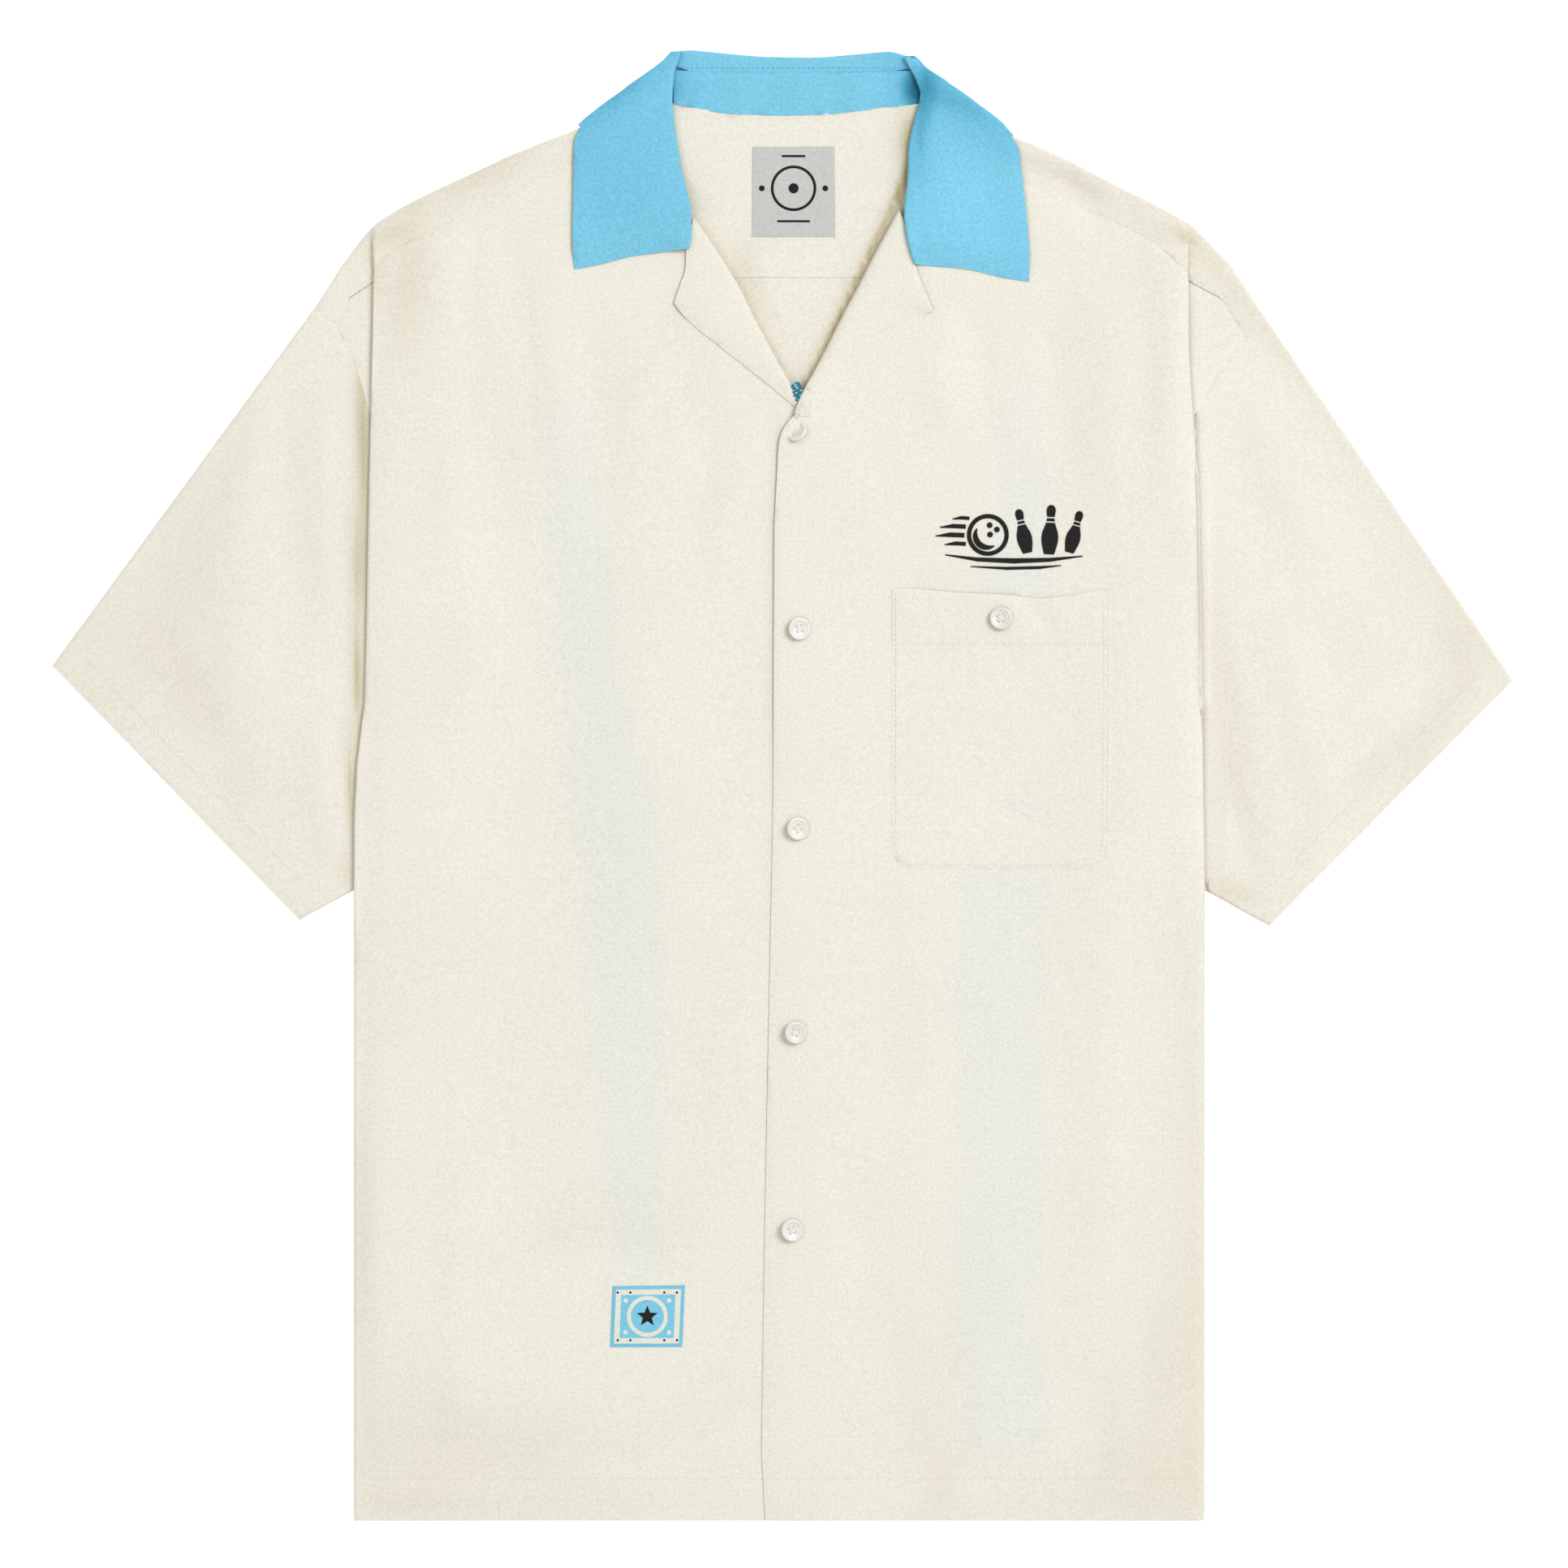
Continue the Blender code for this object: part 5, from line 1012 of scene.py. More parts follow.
def press_down(places, node, shares):
    """Let places sink towards the cloth under them, where there is some."""
    _, _, gap, carriers = PRESSED[node]
    for index in np.nonzero(shares > 0.0)[0]:
        x, y, height = places[index]
        found = [low for low in surfaces_at(x, y, carriers) if low > LEAST_CARRIER * MM]
        if found:
            places[index, 2] += (max(found) + gap * MM - height) * shares[index]


def shape_lapel(work, node):
    """Run one lapel on under the other, and press their outer edges down."""
    if node not in LAPEL_EDGES:
        return
    places, _ = sheet_arrays(work)
    flat = places[:, :2] / MM
    start, end, onset = LAPEL_EDGES[node]
    start, end = np.array(start), np.array(end)
    way = (end - start) / np.linalg.norm(end - start)
    beside = np.abs((flat - start) @ np.array((way[1], -way[0])))
    shares = press_shares(node, beside) * ease((flat - start) @ way / onset)
    if node == "facing_right":
        places[:, :2] += below(flat[:, 1], LAPEL_RUN_TOP)[:, None] * np.array(LAPEL_RUN) * MM
        shares *= places[:, 2] > LAPEL_ROLL * MM
    else:
        places[:, 0] += LAPEL_TUCK * MM * below(flat[:, 1], LAPEL_TUCK_TOP)
        shares = np.maximum(shares, below(flat[:, 1], LAPEL_FLAT_TOP))
    press_down(places, node, shares)
    write_places(work, places)
    if node == "facing_left":
        spare = [face for face in work.faces if face.calc_center_median().y < LAPEL_END_Y * MM]
        bmesh.ops.delete(work, geom=spare, context="FACES")


def segment_distance(flat, start, end):
    """Distance of places from a straight line between two points."""
    start, end = np.array(start), np.array(end)
    way = end - start
    along = np.clip((flat - start) @ way / (way @ way), 0.0, 1.0)
    return np.linalg.norm(flat - start - along[:, None] * way, axis=1)


def shape_edges(work, node):
    """Press the lapped front's edge and the collar's lower edges down on the cloth under them."""
    if node not in ("front_left", "collar_leaf"):
        return
    places, _ = sheet_arrays(work)
    flat = places[:, :2] / MM
    if node == "front_left":
        beside = np.abs(flat[:, 0] - np.interp(flat[:, 1], *np.array(PLACKET_EDGE).T))
        shares = press_shares(node, beside) * below(flat[:, 1], PLACKET_TOP)
    else:
        beside = np.min([segment_distance(flat, *line) for line in FLAP_EDGES], axis=0)
        shares = press_shares(node, beside)
    press_down(places, node, shares)
    write_heights(work, places[:, 2])


def fold_cloth(work, node):
    """Add the folds: all of them on the side that shows, shallow ones on the side below."""
    places, rises = sheet_arrays(work)
    flat = places[:, :2] / MM
    upper = ease((rises + UPPER_TURN[0]) / UPPER_TURN[1])
    rise = top_heights(flat) * upper if node != "collar_stand" else np.zeros(len(flat))
    if node in ("collar_leaf", "collar_stand"):
        rise += fold_heights(flat, COLLAR_FOLDS) * upper
    if node in ("back", "sleeve_right", "sleeve_left", "yoke"):
        lower = ease((-rises - LOWER_TURN[0]) / LOWER_TURN[1]) * (places[:, 2] < UNDERSIDE * MM)
        rise += fold_heights(flat, UNDER_FOLDS) * lower * free_share(flat)
    if node in ("front_right", "front_left"):
        rise += HEM_RISE * below(flat[:, 1], (HEM_Y, HEM_STEP))
    if node == "back":
        rise = rise * (rises < -0.5)
    write_heights(work, places[:, 2] + rise * MM * sizes().folds)
    # The tone attribute carries painted shade, and painted light where it is below zero.
    tone = work.verts.layers.float.new("tone")
    shares = painted_shade_shares(flat, "") * upper + painted_shade_shares(flat, node)
    for vertex, share in zip(work.verts, shares):
        vertex[tone] = float(min(share, MOST_PAINTED_SHADE))


def dip_rim(work, reach, dip):
    """Reach to the middle of each seam and let the rim dip into it."""
    work.normal_update()
    moves = {}
    for edge in work.edges:
        if not edge.is_boundary:
            continue
        face = edge.link_faces[0]
        first, second = edge.verts
        outward = (second.co - first.co).cross(face.normal).normalized()
        if outward.dot(face.calc_center_median() - first.co) > 0.0:
            outward.negate()
        for vertex in edge.verts:
            total, normal = moves.get(vertex, (Vector(), Vector()))
            moves[vertex] = total + outward, normal + face.normal
    for vertex, (outward, normal) in moves.items():
        vertex.co += outward.normalized() * reach - normal.normalized() * dip


def ground_heights(places, carriers):
    """Heights of the carriers' surface under places given in metres."""
    heights = []
    for x, y in places:
        found = surfaces_at(x, y, carriers)
        if not found:
            raise RuntimeError(f"nothing carries the place {x:.4f}, {y:.4f} on {carriers}")
        heights.append(max(found))
    return np.array(heights)


def keep_top(name, work):
    cloth_tops[name] = BVHTree.FromBMesh(work)


# ---------------------------------------------------------------- finished pieces
def add_object(name, work):
    """Make an object of a mesh that was worked on, and put it in the scene."""
    mesh = bpy.data.meshes.new(name)
    work.to_mesh(mesh)
    work.free()
    made = bpy.data.objects.new(name, mesh)
    bpy.context.scene.collection.objects.link(made)
    return made


def add_piece(name, work, finishes, nodes=()):
    """Make a piece of a mesh, ride it on the shirt and hide the frame's parts that it stands for."""
    piece = add_object(name, work)
    for finish in finishes:
        piece.data.materials.append(material_for(finish))
    piece.data.shade_smooth()
    piece.data.set_sharp_from_angle(angle=SHARP_ANGLE)
    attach(piece, "root")
    if nodes:
        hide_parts(*nodes)
    return piece


def shaped(holder, *tools):
    """The mesh that a helper object's modifiers shape; the helper and its tools go."""
    depsgraph = bpy.context.evaluated_depsgraph_get()
    mesh = bpy.data.meshes.new_from_object(holder.evaluated_get(depsgraph), depsgraph=depsgraph)
    made = bmesh.new()
    made.from_mesh(mesh)
    spares = [mesh]
    for spare in (holder, *tools):
        spares.append(spare.data)
        bpy.data.objects.remove(spare)
    for spare in spares:
        bpy.data.meshes.remove(spare)
    return made


def thicken(work, thickness):
    """Give an open sheet its thickness, inwards, and close its rim."""
    holder = add_object("open_sheet", work)
    shell = holder.modifiers.new("thickness", "SOLIDIFY")
    shell.thickness = thickness
    shell.offset = -1.0
    shell.use_rim = True
    shell.use_even_offset = False
    return shaped(holder)


def cut_away(work, cutters):
    """Take the cutters' volume out of a closed mesh."""
    solid, drills = add_object("solid", work), add_object("cutters", cutters)
    tool = solid.modifiers.new("holes", "BOOLEAN")
    tool.operation = "DIFFERENCE"
    tool.solver = "EXACT"
    tool.object = drills
    return shaped(solid, drills)


def make_cloth(node):
    """One panel of the shirt from its solid's outside wall."""
    outside, finish, slot, width, length, area, held, rests_on = CLOTHS[node]
    work = outside_wall(node, outside)
    cut_to_cells(work, sizes().cell)
    even_out(work, sizes().evening)
    round_off(work, ROUNDING)
    draw_out(work, node)
    fold_cloth(work, node)
    shape_lapel(work, node)
    shape_edges(work, node)
    dip_rim(work, SEAM_REACH * MM, SEAM_DIP * MM)
    keep_top(node, work)
    piece = add_piece(node + "_cloth", thicken(work, sizes().cloth), [finish], [node])
    return piece


# ---------------------------------------------------------------- stitching
def along_path(path, step):
    """Places and directions every step along a path of points, in metres."""
    made = []
    carry = step / 2
    for start, end in zip(path, path[1:]):
        start, end = Vector(start) * MM, Vector(end) * MM
        length = (end - start).length
        while carry < length:
            made.append((start.lerp(end, carry / length), (end - start).normalized()))
            carry += step
        carry -= length
    return made


def add_ellipsoid(work, place, turn, halves, segments, rings):
    """A small rounded body; its half sizes are in metres."""
    matrix = Matrix.Translation(place) @ turn @ Matrix.Diagonal((*halves, 1.0))
    return bmesh.ops.create_uvsphere(work, u_segments=segments, v_segments=rings, radius=1.0,
                                     matrix=matrix)["verts"]


def add_stitches(work, path, carriers, underneath=False):
    """A row of stitches along a path, lying on the carriers' cloth or under the shirt."""
    thread, stitch = sizes().thread, sizes().stitch
    for place, way in along_path(path, stitch + sizes().stitch_gap):
        if underneath:
            ends = np.array((0.0, 0.0))
        else:
            ends = ground_heights([(place + way * stitch * side * STITCH_SPAN).xy for side in (-0.5, 0.5)],
                                  carriers)
        run = Vector((*(way.xy * stitch * STITCH_SPAN), float(ends[1] - ends[0])))
        height = float(ends.mean()) + thread * STITCH_SINK[underneath]
        turn = run.to_track_quat("X", "Z").to_matrix().to_4x4()
        add_ellipsoid(work, (place.x, place.y, height), turn, (stitch / 2, thread / 2, thread / 2), 6, 4)


def sew(name, rows, finish):
    """A piece of stitching. Rows: path, carriers, whether it is underneath."""
    work = bmesh.new()
    for path, carriers, underneath in rows:
        add_stitches(work, path, carriers, underneath)
    return add_piece(name, work, [finish])


# ---------------------------------------------------------------- flat shapes laid on the cloth
def add_outline(work, points):
    """A filled flat shape from the points of its outline."""
    corners = [work.verts.new((x * MM, y * MM, 0.0)) for x, y in points]
    face = work.faces.new(corners)
    face.normal_update()
    if face.normal.z < 0.0:
        face.normal_flip()
    return face


def add_ring(work, points, width):
    """An outline of a given line width, inside the points."""
    face = add_outline(work, points)
    bmesh.ops.inset_region(work, faces=[face], thickness=width * MM, use_even_offset=True,
                           use_boundary=True)
    bmesh.ops.delete(work, geom=[face], context="FACES")


def circle_points(x, y, radius, count):
    return [(x + radius * math.cos(math.tau * step / count),
             y + radius * math.sin(math.tau * step / count)) for step in range(count)]


def stroke_points(path):
    """Outline of a tapering stroke. Columns of its path: x, y, width."""
    left, right = [], []
    for index, (x, y, width) in enumerate(path):
        before = path[max(index - 1, 0)]
        after = path[min(index + 1, len(path) - 1)]
        way = Vector((after[0] - before[0], after[1] - before[1])).normalized()
        half = width / 2
        left.append((x - way.y * half, y + way.x * half))
        right.append((x + way.y * half, y - way.x * half))
    return left + right[::-1]


def pin_points(x, y, lean, scale, low, high):
    """Outline of one part of a bowling pin that stands at a place, leaning by degrees."""
    section = list(PIN_SECTION[low:high + 1])
    if low:
        section[0] = (section[0][0] + PIN_BAND_GAP, section[0][1])
    half = [(width * scale, height * scale) for height, width in section]
    outline = half + [(-width, height) for width, height in reversed(half)]
    turn = Matrix.Rotation(math.radians(lean), 2)
    return [tuple(Vector((x, y)) + turn @ Vector(point)) for point in outline]


def add_dots(work, middle, rows):
    """Round dots in the four quarters about a middle."""
    for across, up, radius, count in rows:
        for side, way in SIDES:
            add_outline(work, circle_points(middle[0] + side * across, middle[1] + way * up,
                                            radius, count))


def lay_shape(work, carriers, thickness, cell=MARK_CELL * MM):
    """Cut flat shapes finely, raise them by their thickness and lay them on the cloth."""
    bmesh.ops.triangulate(work, faces=work.faces)
    cut_to_cells(work, cell)
    lifted = ground_heights([vertex.co.xy for vertex in work.verts], carriers)
    write_heights(work, lifted + thickness)
    work.normal_update()
    return thicken(work, thickness + MARK_SINK * MM)


def quad_grid(corners, columns, rows):
    """A flat grid inside four corners."""
    work = bmesh.new()
    bmesh.ops.create_grid(work, x_segments=columns, y_segments=rows, size=0.5)
    low_left, low_right, top_right, top_left = [Vector(corner) * MM for corner in corners]
    for vertex in work.verts:
        share, row = vertex.co.x + 0.5, vertex.co.y + 0.5
        place = low_left.lerp(low_right, share).lerp(top_left.lerp(top_right, share), row)
        vertex.co = (place.x, place.y, 0.0)
    return work


def sew_down(work, carriers, lift, dip):
    """Lay an open sheet on the cloth under it, with its rim dipped."""
    places, _ = sheet_arrays(work)
    write_heights(work, ground_heights(places[:, :2], carriers) + lift * MM)
    dip_rim(work, 0.0, dip * MM)
    return work


# ---------------------------------------------------------------- operators
class SHIRT_OT_body(bpy.types.Operator):
    """Make the back, the yoke, both fronts and both sleeves"""

    bl_idname = "shirt.body"
    bl_label = "Body and sleeves"

    def execute(self, context):
        for node in ("back", "yoke", "front_right", "front_left", "sleeve_right", "sleeve_left"):
            make_cloth(node)
        return {"FINISHED"}


class SHIRT_OT_collar(bpy.types.Operator):
    """Make the lapels, the collar and its stand"""

    bl_idname = "shirt.collar"
    bl_label = "Collar and lapels"

    def execute(self, context):
        for node in ("facing_right", "facing_left", "collar_leaf", "collar_stand"):
            make_cloth(node)
        return {"FINISHED"}


class SHIRT_OT_pocket(bpy.types.Operator):
    """Make the patch pocket and lay it on the wearer's left front"""

    bl_idname = "shirt.pocket"
    bl_label = "Pocket"

    def execute(self, context):
        work = outside_wall("pocket", "up")
        cut_to_cells(work, POCKET_CELL * MM)
        even_out(work, sizes().evening)
        places, _ = sheet_arrays(work)
        ground = ground_heights(places[:, :2], ["front_left"])
        write_heights(work, ground + self.rises(places[:, :2] / MM) * MM)
        round_off(work, POCKET_ROUNDING)
        dip_rim(work, 0.0, POCKET_DIP * MM)
        keep_top("pocket", work)
        piece = add_piece("pocket_cloth", thicken(work, TRIM_THICKNESS * MM), ["ivory"],
                          ["pocket"])
        return {"FINISHED"}

    @staticmethod
    def rises(flat):
        """How much the pocket lies above the front."""
        mouth_rise, mouth_y, mouth_length, bulge = POCKET_MOUTH
        band_rise, band_length = POCKET_BAND
        across = np.clip((flat[:, 0] - POCKET_SIDE_X) / POCKET_WIDTH, 0.0, 1.0)
        mouth = ease((flat[:, 1] - mouth_y) / mouth_length) * np.sin(math.pi * across) ** bulge
        band = ease((flat[:, 1] - POCKET_BAND_Y) / band_length)
        return POCKET_RISE + mouth_rise * mouth + band_rise * band + fold_heights(flat, POCKET_FOLDS)


class SHIRT_OT_label(bpy.types.Operator):
    """Make the woven label inside the neck, with a plain ring on it"""

    bl_idname = "shirt.label"
    bl_label = "Neck label"

    def execute(self, context):
        work = sew_down(quad_grid(LABEL_CORNERS, *LABEL_CELLS), ["yoke"], *LABEL_LIE)
        keep_top("neck_label", work)
        piece = add_piece("neck_label_cloth", thicken(work, TRIM_THICKNESS * MM), ["label"],
                          ["neck_label"])
        marks = bmesh.new()
        middle_x, middle_y = LABEL_MIDDLE
        radius, line = LABEL_RING
        add_ring(marks, circle_points(*LABEL_MIDDLE, radius, 48), line)
        add_outline(marks, circle_points(*LABEL_MIDDLE, LABEL_DOT, 32))
        distance, radius = LABEL_SIDE_DOTS
        for side in (-1, 1):
            add_outline(marks, circle_points(middle_x + side * distance, middle_y, radius, 20))
        for y, half in LABEL_BARS:
            low, high = y - LABEL_BAR_HALF, y + LABEL_BAR_HALF
            add_outline(marks, [(middle_x - half, low), (middle_x + half, low),
                                (middle_x + half, high), (middle_x - half, high)])
        add_piece("neck_label_marks", lay_shape(marks, ["neck_label"], PRINT_THICKNESS * MM),
                  ["ink_weave"])
        sew("neck_label_stitches", [(LABEL_SEAM, ["neck_label"], False)], "ivory_thread")
        return {"FINISHED"}


class SHIRT_OT_patch(bpy.types.Operator):
    """Make the woven patch above the hem: blue with a cream frame, a ring and a star"""

    bl_idname = "shirt.patch"
    bl_label = "Hem patch"

    def execute(self, context):
        work = sew_down(quad_grid(PATCH_CORNERS, *PATCH_CELLS), ["front_right"], *PATCH_LIE)
        for face in work.faces:
            rim = self.cells_from_rim(face)
            face.material_index = 0 if rim < PATCH_FRAME[0] else 1 if rim < PATCH_FRAME[1] else 2
        keep_top("hem_patch", work)
        piece = add_piece("hem_patch_cloth", thicken(work, TRIM_THICKNESS * MM),
                          ["blue_satin", "cream_weave", "blue_weave"], ["hem_patch"])
        light, dark = bmesh.new(), bmesh.new()
        radius, line = PATCH_RING
        add_ring(light, circle_points(*PATCH_MIDDLE, radius, 56), line)
        add_dots(light, PATCH_MIDDLE, PATCH_LIGHT_DOTS)
        add_piece("hem_patch_ring", lay_shape(light, ["hem_patch"], PRINT_THICKNESS * MM),
                  ["cream_weave"])
        add_outline(dark, self.star_points())
        add_dots(dark, PATCH_MIDDLE, PATCH_DARK_DOTS)
        add_piece("hem_patch_star", lay_shape(dark, ["hem_patch"], STAR_THICKNESS * MM, FINE_CELL * MM),
                  ["ink_weave"])
        return {"FINISHED"}

    @staticmethod
    def star_points():
        """Outline of a star with five points."""
        turns = [(math.tau * step / 10, PATCH_STAR[step % 2]) for step in range(10)]
        return [(PATCH_MIDDLE[0] + radius * math.sin(turn), PATCH_MIDDLE[1] + radius * math.cos(turn))
                for turn, radius in turns]

    @staticmethod
    def cells_from_rim(face):
        """How many cells lie between a cell of the patch and its rim."""
        columns, rows = PATCH_CELLS
        centre = face.calc_center_median() / MM
        low_left, low_right, _, top_left = PATCH_CORNERS
        up = (centre.y - low_left[1]) / (top_left[1] - low_left[1])
        across = (centre.x - low_left[0] - (top_left[0] - low_left[0]) * up) / (low_right[0] - low_left[0])
        column, row = int(across * columns), int(up * rows)
        return min(column, columns - 1 - column, row, rows - 1 - row)


class SHIRT_OT_emblem(bpy.types.Operator):
    """Embroider a ball rolling at three pins on the chest"""

    bl_idname = "shirt.emblem"
    bl_label = "Chest embroidery"

    def execute(self, context):
        work = bmesh.new()
        radius, line = BALL_RING
        add_ring(work, circle_points(*BALL, radius, 56), line)
        for hole in BALL_HOLES:
            add_outline(work, circle_points(*hole, BALL_HOLE_RADIUS, 18))
        widths = SHADE_WIDTHS + SHADE_WIDTHS[::-1]
        turns = np.linspace(*np.radians(SHADE_TURN), len(widths))
        add_outline(work, stroke_points([(BALL[0] + SHADE_RADIUS * math.cos(turn),
                                          BALL[1] + SHADE_RADIUS * math.sin(turn), width)
                                         for turn, width in zip(turns, widths)]))
        for y, start, end, width in SPEED_LINES:
            add_outline(work, stroke_points(((start, y + SPEED_BOW[0], SPEED_START),
                                             ((start + end) / 2, y + SPEED_BOW[1], width),
                                             (end, y, width))))
        for x, y, lean, scale in PINS:
            for low, high in PIN_PARTS:
                add_outline(work, pin_points(x, y, lean, scale, low, high))
        for path in LANE_LINES:
            add_outline(work, stroke_points(path))
        work = lay_shape(work, ["front_left"], EMBROIDERY_THICKNESS * MM, FINE_CELL * MM)
        add_piece("chest_embroidery", work, ["ink_thread"])
        return {"FINISHED"}


class SHIRT_OT_buttons(bpy.types.Operator):
    """Make the shell buttons and the thread that holds them"""

    bl_idname = "shirt.buttons"
    bl_label = "Buttons"

    def execute(self, context):
        for name, (x, y, lean_x, lean_y, turn, depth, carriers) in BUTTONS.items():
            lean = Euler((math.radians(lean_x), math.radians(lean_y), 0.0)).to_matrix().to_4x4()
            spin = Matrix.Rotation(math.radians(turn), 4, "Z")
            disc = self.disc()
            disc.transform(lean @ spin)
            disc.transform(Matrix.Translation((x * MM, y * MM, 0.0)))
            ground = ground_heights([vertex.co.xy for vertex in disc.verts], carriers)
            rest = max(ground - np.array([vertex.co.z for vertex in disc.verts]))
            base = Matrix.Translation((0.0, 0.0, float(rest) + (BUTTON_GAP - depth) * MM))
            disc.transform(base)
            add_piece(name + "_shell", disc, ["pearl"], [name])
            thread = self.thread()
            thread.transform(base @ Matrix.Translation((x * MM, y * MM, 0.0)) @ lean @ spin)
            add_piece(name + "_thread", thread, ["ivory_thread"])
        return {"FINISHED"}

    @staticmethod
    def disc():
        """One button with four holes, flat at the origin."""
        work = bmesh.new()
        points = [work.verts.new((radius * MM, 0.0, height * MM)) for radius, height in BUTTON_SECTION]
        edges = [work.edges.new(pair) for pair in zip(points, points[1:])]
        bmesh.ops.spin(work, geom=points + edges, cent=(0, 0, 0), axis=(0, 0, 1), dvec=(0, 0, 0),
                       angle=math.tau, steps=BUTTON_STEPS, use_merge=True, use_normal_flip=False,
                       use_duplicate=False)
        bmesh.ops.remove_doubles(work, verts=work.verts, dist=MERGE)
        bmesh.ops.recalc_face_normals(work, faces=work.faces)
        drills = bmesh.new()
        offset = BUTTON_HOLE_SPACING / 2 * MM
        height, length = DRILL
        for side, way in SIDES:
            place = Matrix.Translation((side * offset, way * offset, height * MM))
            bmesh.ops.create_cone(drills, cap_ends=True, segments=16, radius1=BUTTON_HOLE / 2 * MM,
                                  radius2=BUTTON_HOLE / 2 * MM, depth=length * MM, matrix=place)
        return cut_away(work, drills)

    @staticmethod
    def thread():
        """Two crossing strands through the holes, and the shank below."""
        work = bmesh.new()
        for angle in (45.0, -45.0):
            turn = Matrix.Rotation(math.radians(angle), 4, "Z")
            add_ellipsoid(work, (0, 0, STRAND_HEIGHT * MM), turn, [half * MM for half in STRAND], 12, 8)
        low, high, length, height = SHANK
        bmesh.ops.create_cone(work, cap_ends=True, segments=12, radius1=low * MM, radius2=high * MM,
                              depth=length * MM, matrix=Matrix.Translation((0, 0, height * MM)))
        return work


class SHIRT_OT_stitching(bpy.types.Operator):
    """Sew the hems, the pocket and the collar's stand, and crochet the loop in the neck"""

    bl_idname = "shirt.stitching"
    bl_label = "Stitching"

    def execute(self, context):
        for name, finish, slot, rows in (
                ("hem_stitches", "ivory_thread", "ivory_cloth", HEM_ROWS),
                ("sleeve_hem_stitches", "ivory_thread", "ivory_cloth", self.sleeve_rows()),
                ("pocket_stitches", "ivory_thread", "ivory_cloth", self.pocket_rows()),
                ("stand_stitches", "blue_thread", "sky_cloth", STAND_ROWS),
                ("stand_edge_stitches", "sky_thread", "sky_cloth", STAND_EDGE_ROWS)):
            sew(name, rows, finish)
        self.loop()
        return {"FINISHED"}

    @staticmethod
    def sleeve_rows():
        """The sleeves' hems, above and underneath."""
        rows = []
        for node, side, outer, inner in SLEEVE_ENDS:
            start, end = Vector((side * outer[0], outer[1])), Vector((side * inner[0], inner[1]))
            way = (end - start).normalized()
            inward = Vector((-side, 1.0))
            inward = (inward - way * inward.dot(way)).normalized() * SLEEVE_HEM_IN
            path = [tuple(start + inward + way * SLEEVE_HEM_ENDS[0]),
                    tuple(end + inward - way * SLEEVE_HEM_ENDS[1])]
            rows += [(path, [node], False), (path, [node], True)]
        return rows

    @staticmethod
    def pocket_rows():
        """All round the pocket, a second row on its outer side, and the band."""
        edge, second = [inset_path(POCKET_EDGE, reach) for reach in POCKET_SEAMS]
        return [(path, ["pocket"], False) for path in (edge, second[-3:], POCKET_BAND_ROW)]

    @staticmethod
    def loop():
        """A small crocheted button loop that sticks out under the lapel."""
        work = bmesh.new()
        for row, (y, middle, half) in enumerate(LOOP_ROWS):
            count = max(round(half * 2.0 / LOOP_STEP), 1)
            for column in range(count + 1):
                x = middle - half + 2.0 * half * column / count
                lean = LOOP_LEAN if (row + column) % 2 else -LOOP_LEAN
                height = LOOP_HEIGHT + LOOP_BULGE * (1.0 - ((x - middle) / (half + 0.3)) ** 2)
                bead = add_ellipsoid(work, (x * MM, y * MM, height * MM),
                                     Matrix.Rotation(math.radians(lean), 4, "Z"),
                                     [half_size * MM for half_size in LOOP_BEAD], 10, 7)
                for face in {face for vertex in bead for face in vertex.link_faces}:
                    face.material_index = (row + 2 * column) % 3 == 0
        add_piece("neck_loop", work, ["blue_cord", "sky_thread"])


def inset_path(points, reach):
    """A path moved to the left of its run by a reach."""
    path = [Vector(point) for point in points]
    moved = []
    for index, point in enumerate(path):
        before, after = path[max(index - 1, 0)], path[min(index + 1, len(path) - 1)]
        way = (after - before).normalized()
        moved.append(point + Vector((-way.y, way.x)) * reach)
    return moved


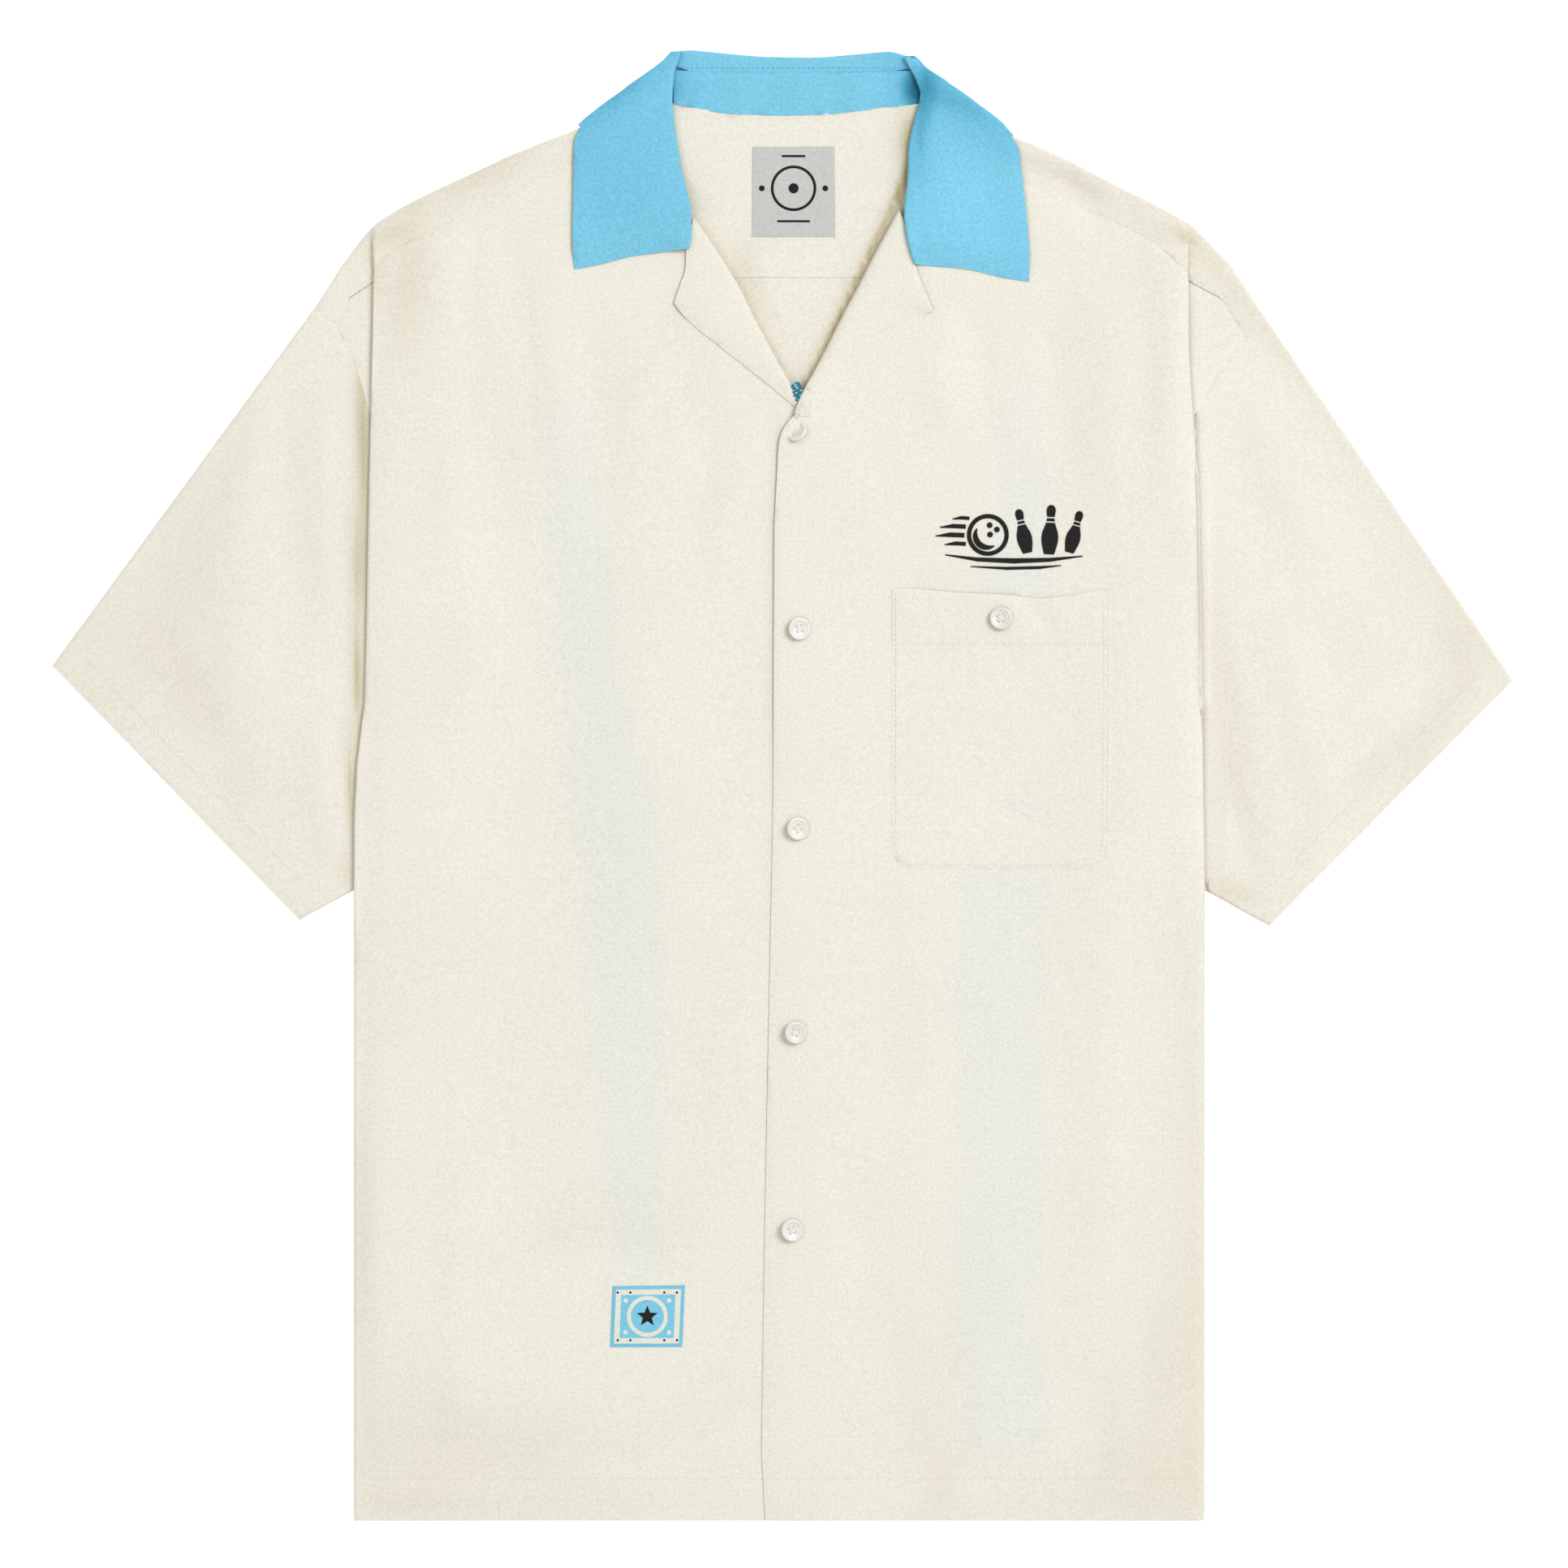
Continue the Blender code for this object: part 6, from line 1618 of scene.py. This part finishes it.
class SHIRT_OT_stage(bpy.types.Operator):
    """Lay out the floor, the lights and the camera above the shirt"""

    bl_idname = "shirt.stage"
    bl_label = "Stage"

    def execute(self, context):
        scene, settings = bpy.context.scene, bpy.context.scene.stage_settings
        work = bmesh.new()
        bmesh.ops.create_grid(work, x_segments=2, y_segments=2, size=FLOOR_SIZE,
                              matrix=Matrix.Translation((0, 0, -FLOOR_DEPTH * MM)))
        floor = add_object("floor", work)
        floor.data.materials.append(material_for("floor"))
        world = bpy.data.worlds.new("room")
        world.use_nodes = True
        background = world.node_tree.nodes["Background"]
        background.inputs["Color"].default_value = (*settings.room_tint, 1.0)
        background.inputs["Strength"].default_value = settings.sky_light
        scene.world = world
        scene.view_settings.view_transform = "Standard"
        for name, place, size, share in LAMPS:
            light = bpy.data.lights.new(name, "AREA")
            light.color = settings.key_tint
            light.shape = "DISK"
            light.size = size
            light.energy = settings.key * share
            lamp = bpy.data.objects.new(name, light)
            lamp.location = place
            lamp.rotation_mode = "QUATERNION"
            lamp.rotation_quaternion = Vector(place).to_track_quat("Z", "Y")
            scene.collection.objects.link(lamp)
        data = bpy.data.cameras.new("camera")
        data.sensor_width = SENSOR_WIDTH
        data.lens = data.sensor_width * settings.camera_height / settings.view_width
        data.clip_end = VIEW_END
        camera = bpy.data.objects.new("camera", data)
        camera.location = (CAMERA_OFFSET[0] * MM, CAMERA_OFFSET[1] * MM, settings.camera_height)
        scene.collection.objects.link(camera)
        scene.camera = camera
        return {"FINISHED"}


class SHIRT_PT_workshop(bpy.types.Panel):
    """Lists the steps that dress the shirt"""

    bl_idname = "SHIRT_PT_workshop"
    bl_label = "Bowling Shirt"
    bl_space_type = "VIEW_3D"
    bl_region_type = "UI"
    bl_category = "Shirt"

    def draw(self, context):
        for group in ("shirt_sizes", "shirt_colours", "stage_settings"):
            settings = getattr(context.scene, group)
            for name in settings.__annotations__:
                self.layout.prop(settings, name)
        for step in STEPS:
            self.layout.operator(step.bl_idname)


GROUPS = {"shirt_sizes": ShirtSizes, "shirt_colours": ShirtColours, "stage_settings": StageSettings}
STEPS = (SHIRT_OT_body, SHIRT_OT_collar, SHIRT_OT_pocket, SHIRT_OT_label, SHIRT_OT_patch,
         SHIRT_OT_emblem, SHIRT_OT_buttons, SHIRT_OT_stitching, SHIRT_OT_stage)


def register():
    for kind in (*GROUPS.values(), *STEPS, SHIRT_PT_workshop):
        bpy.utils.register_class(kind)
    for name, kind in GROUPS.items():
        setattr(bpy.types.Scene, name, PointerProperty(type=kind))


def unregister():
    for name in GROUPS:
        delattr(bpy.types.Scene, name)
    for kind in (SHIRT_PT_workshop, *STEPS[::-1], *GROUPS.values()):
        bpy.utils.unregister_class(kind)


def main():
    register()
    for step in STEPS:
        family, name = step.bl_idname.split(".")
        getattr(getattr(bpy.ops, family), name)()


if __name__ == "__main__":
    main()
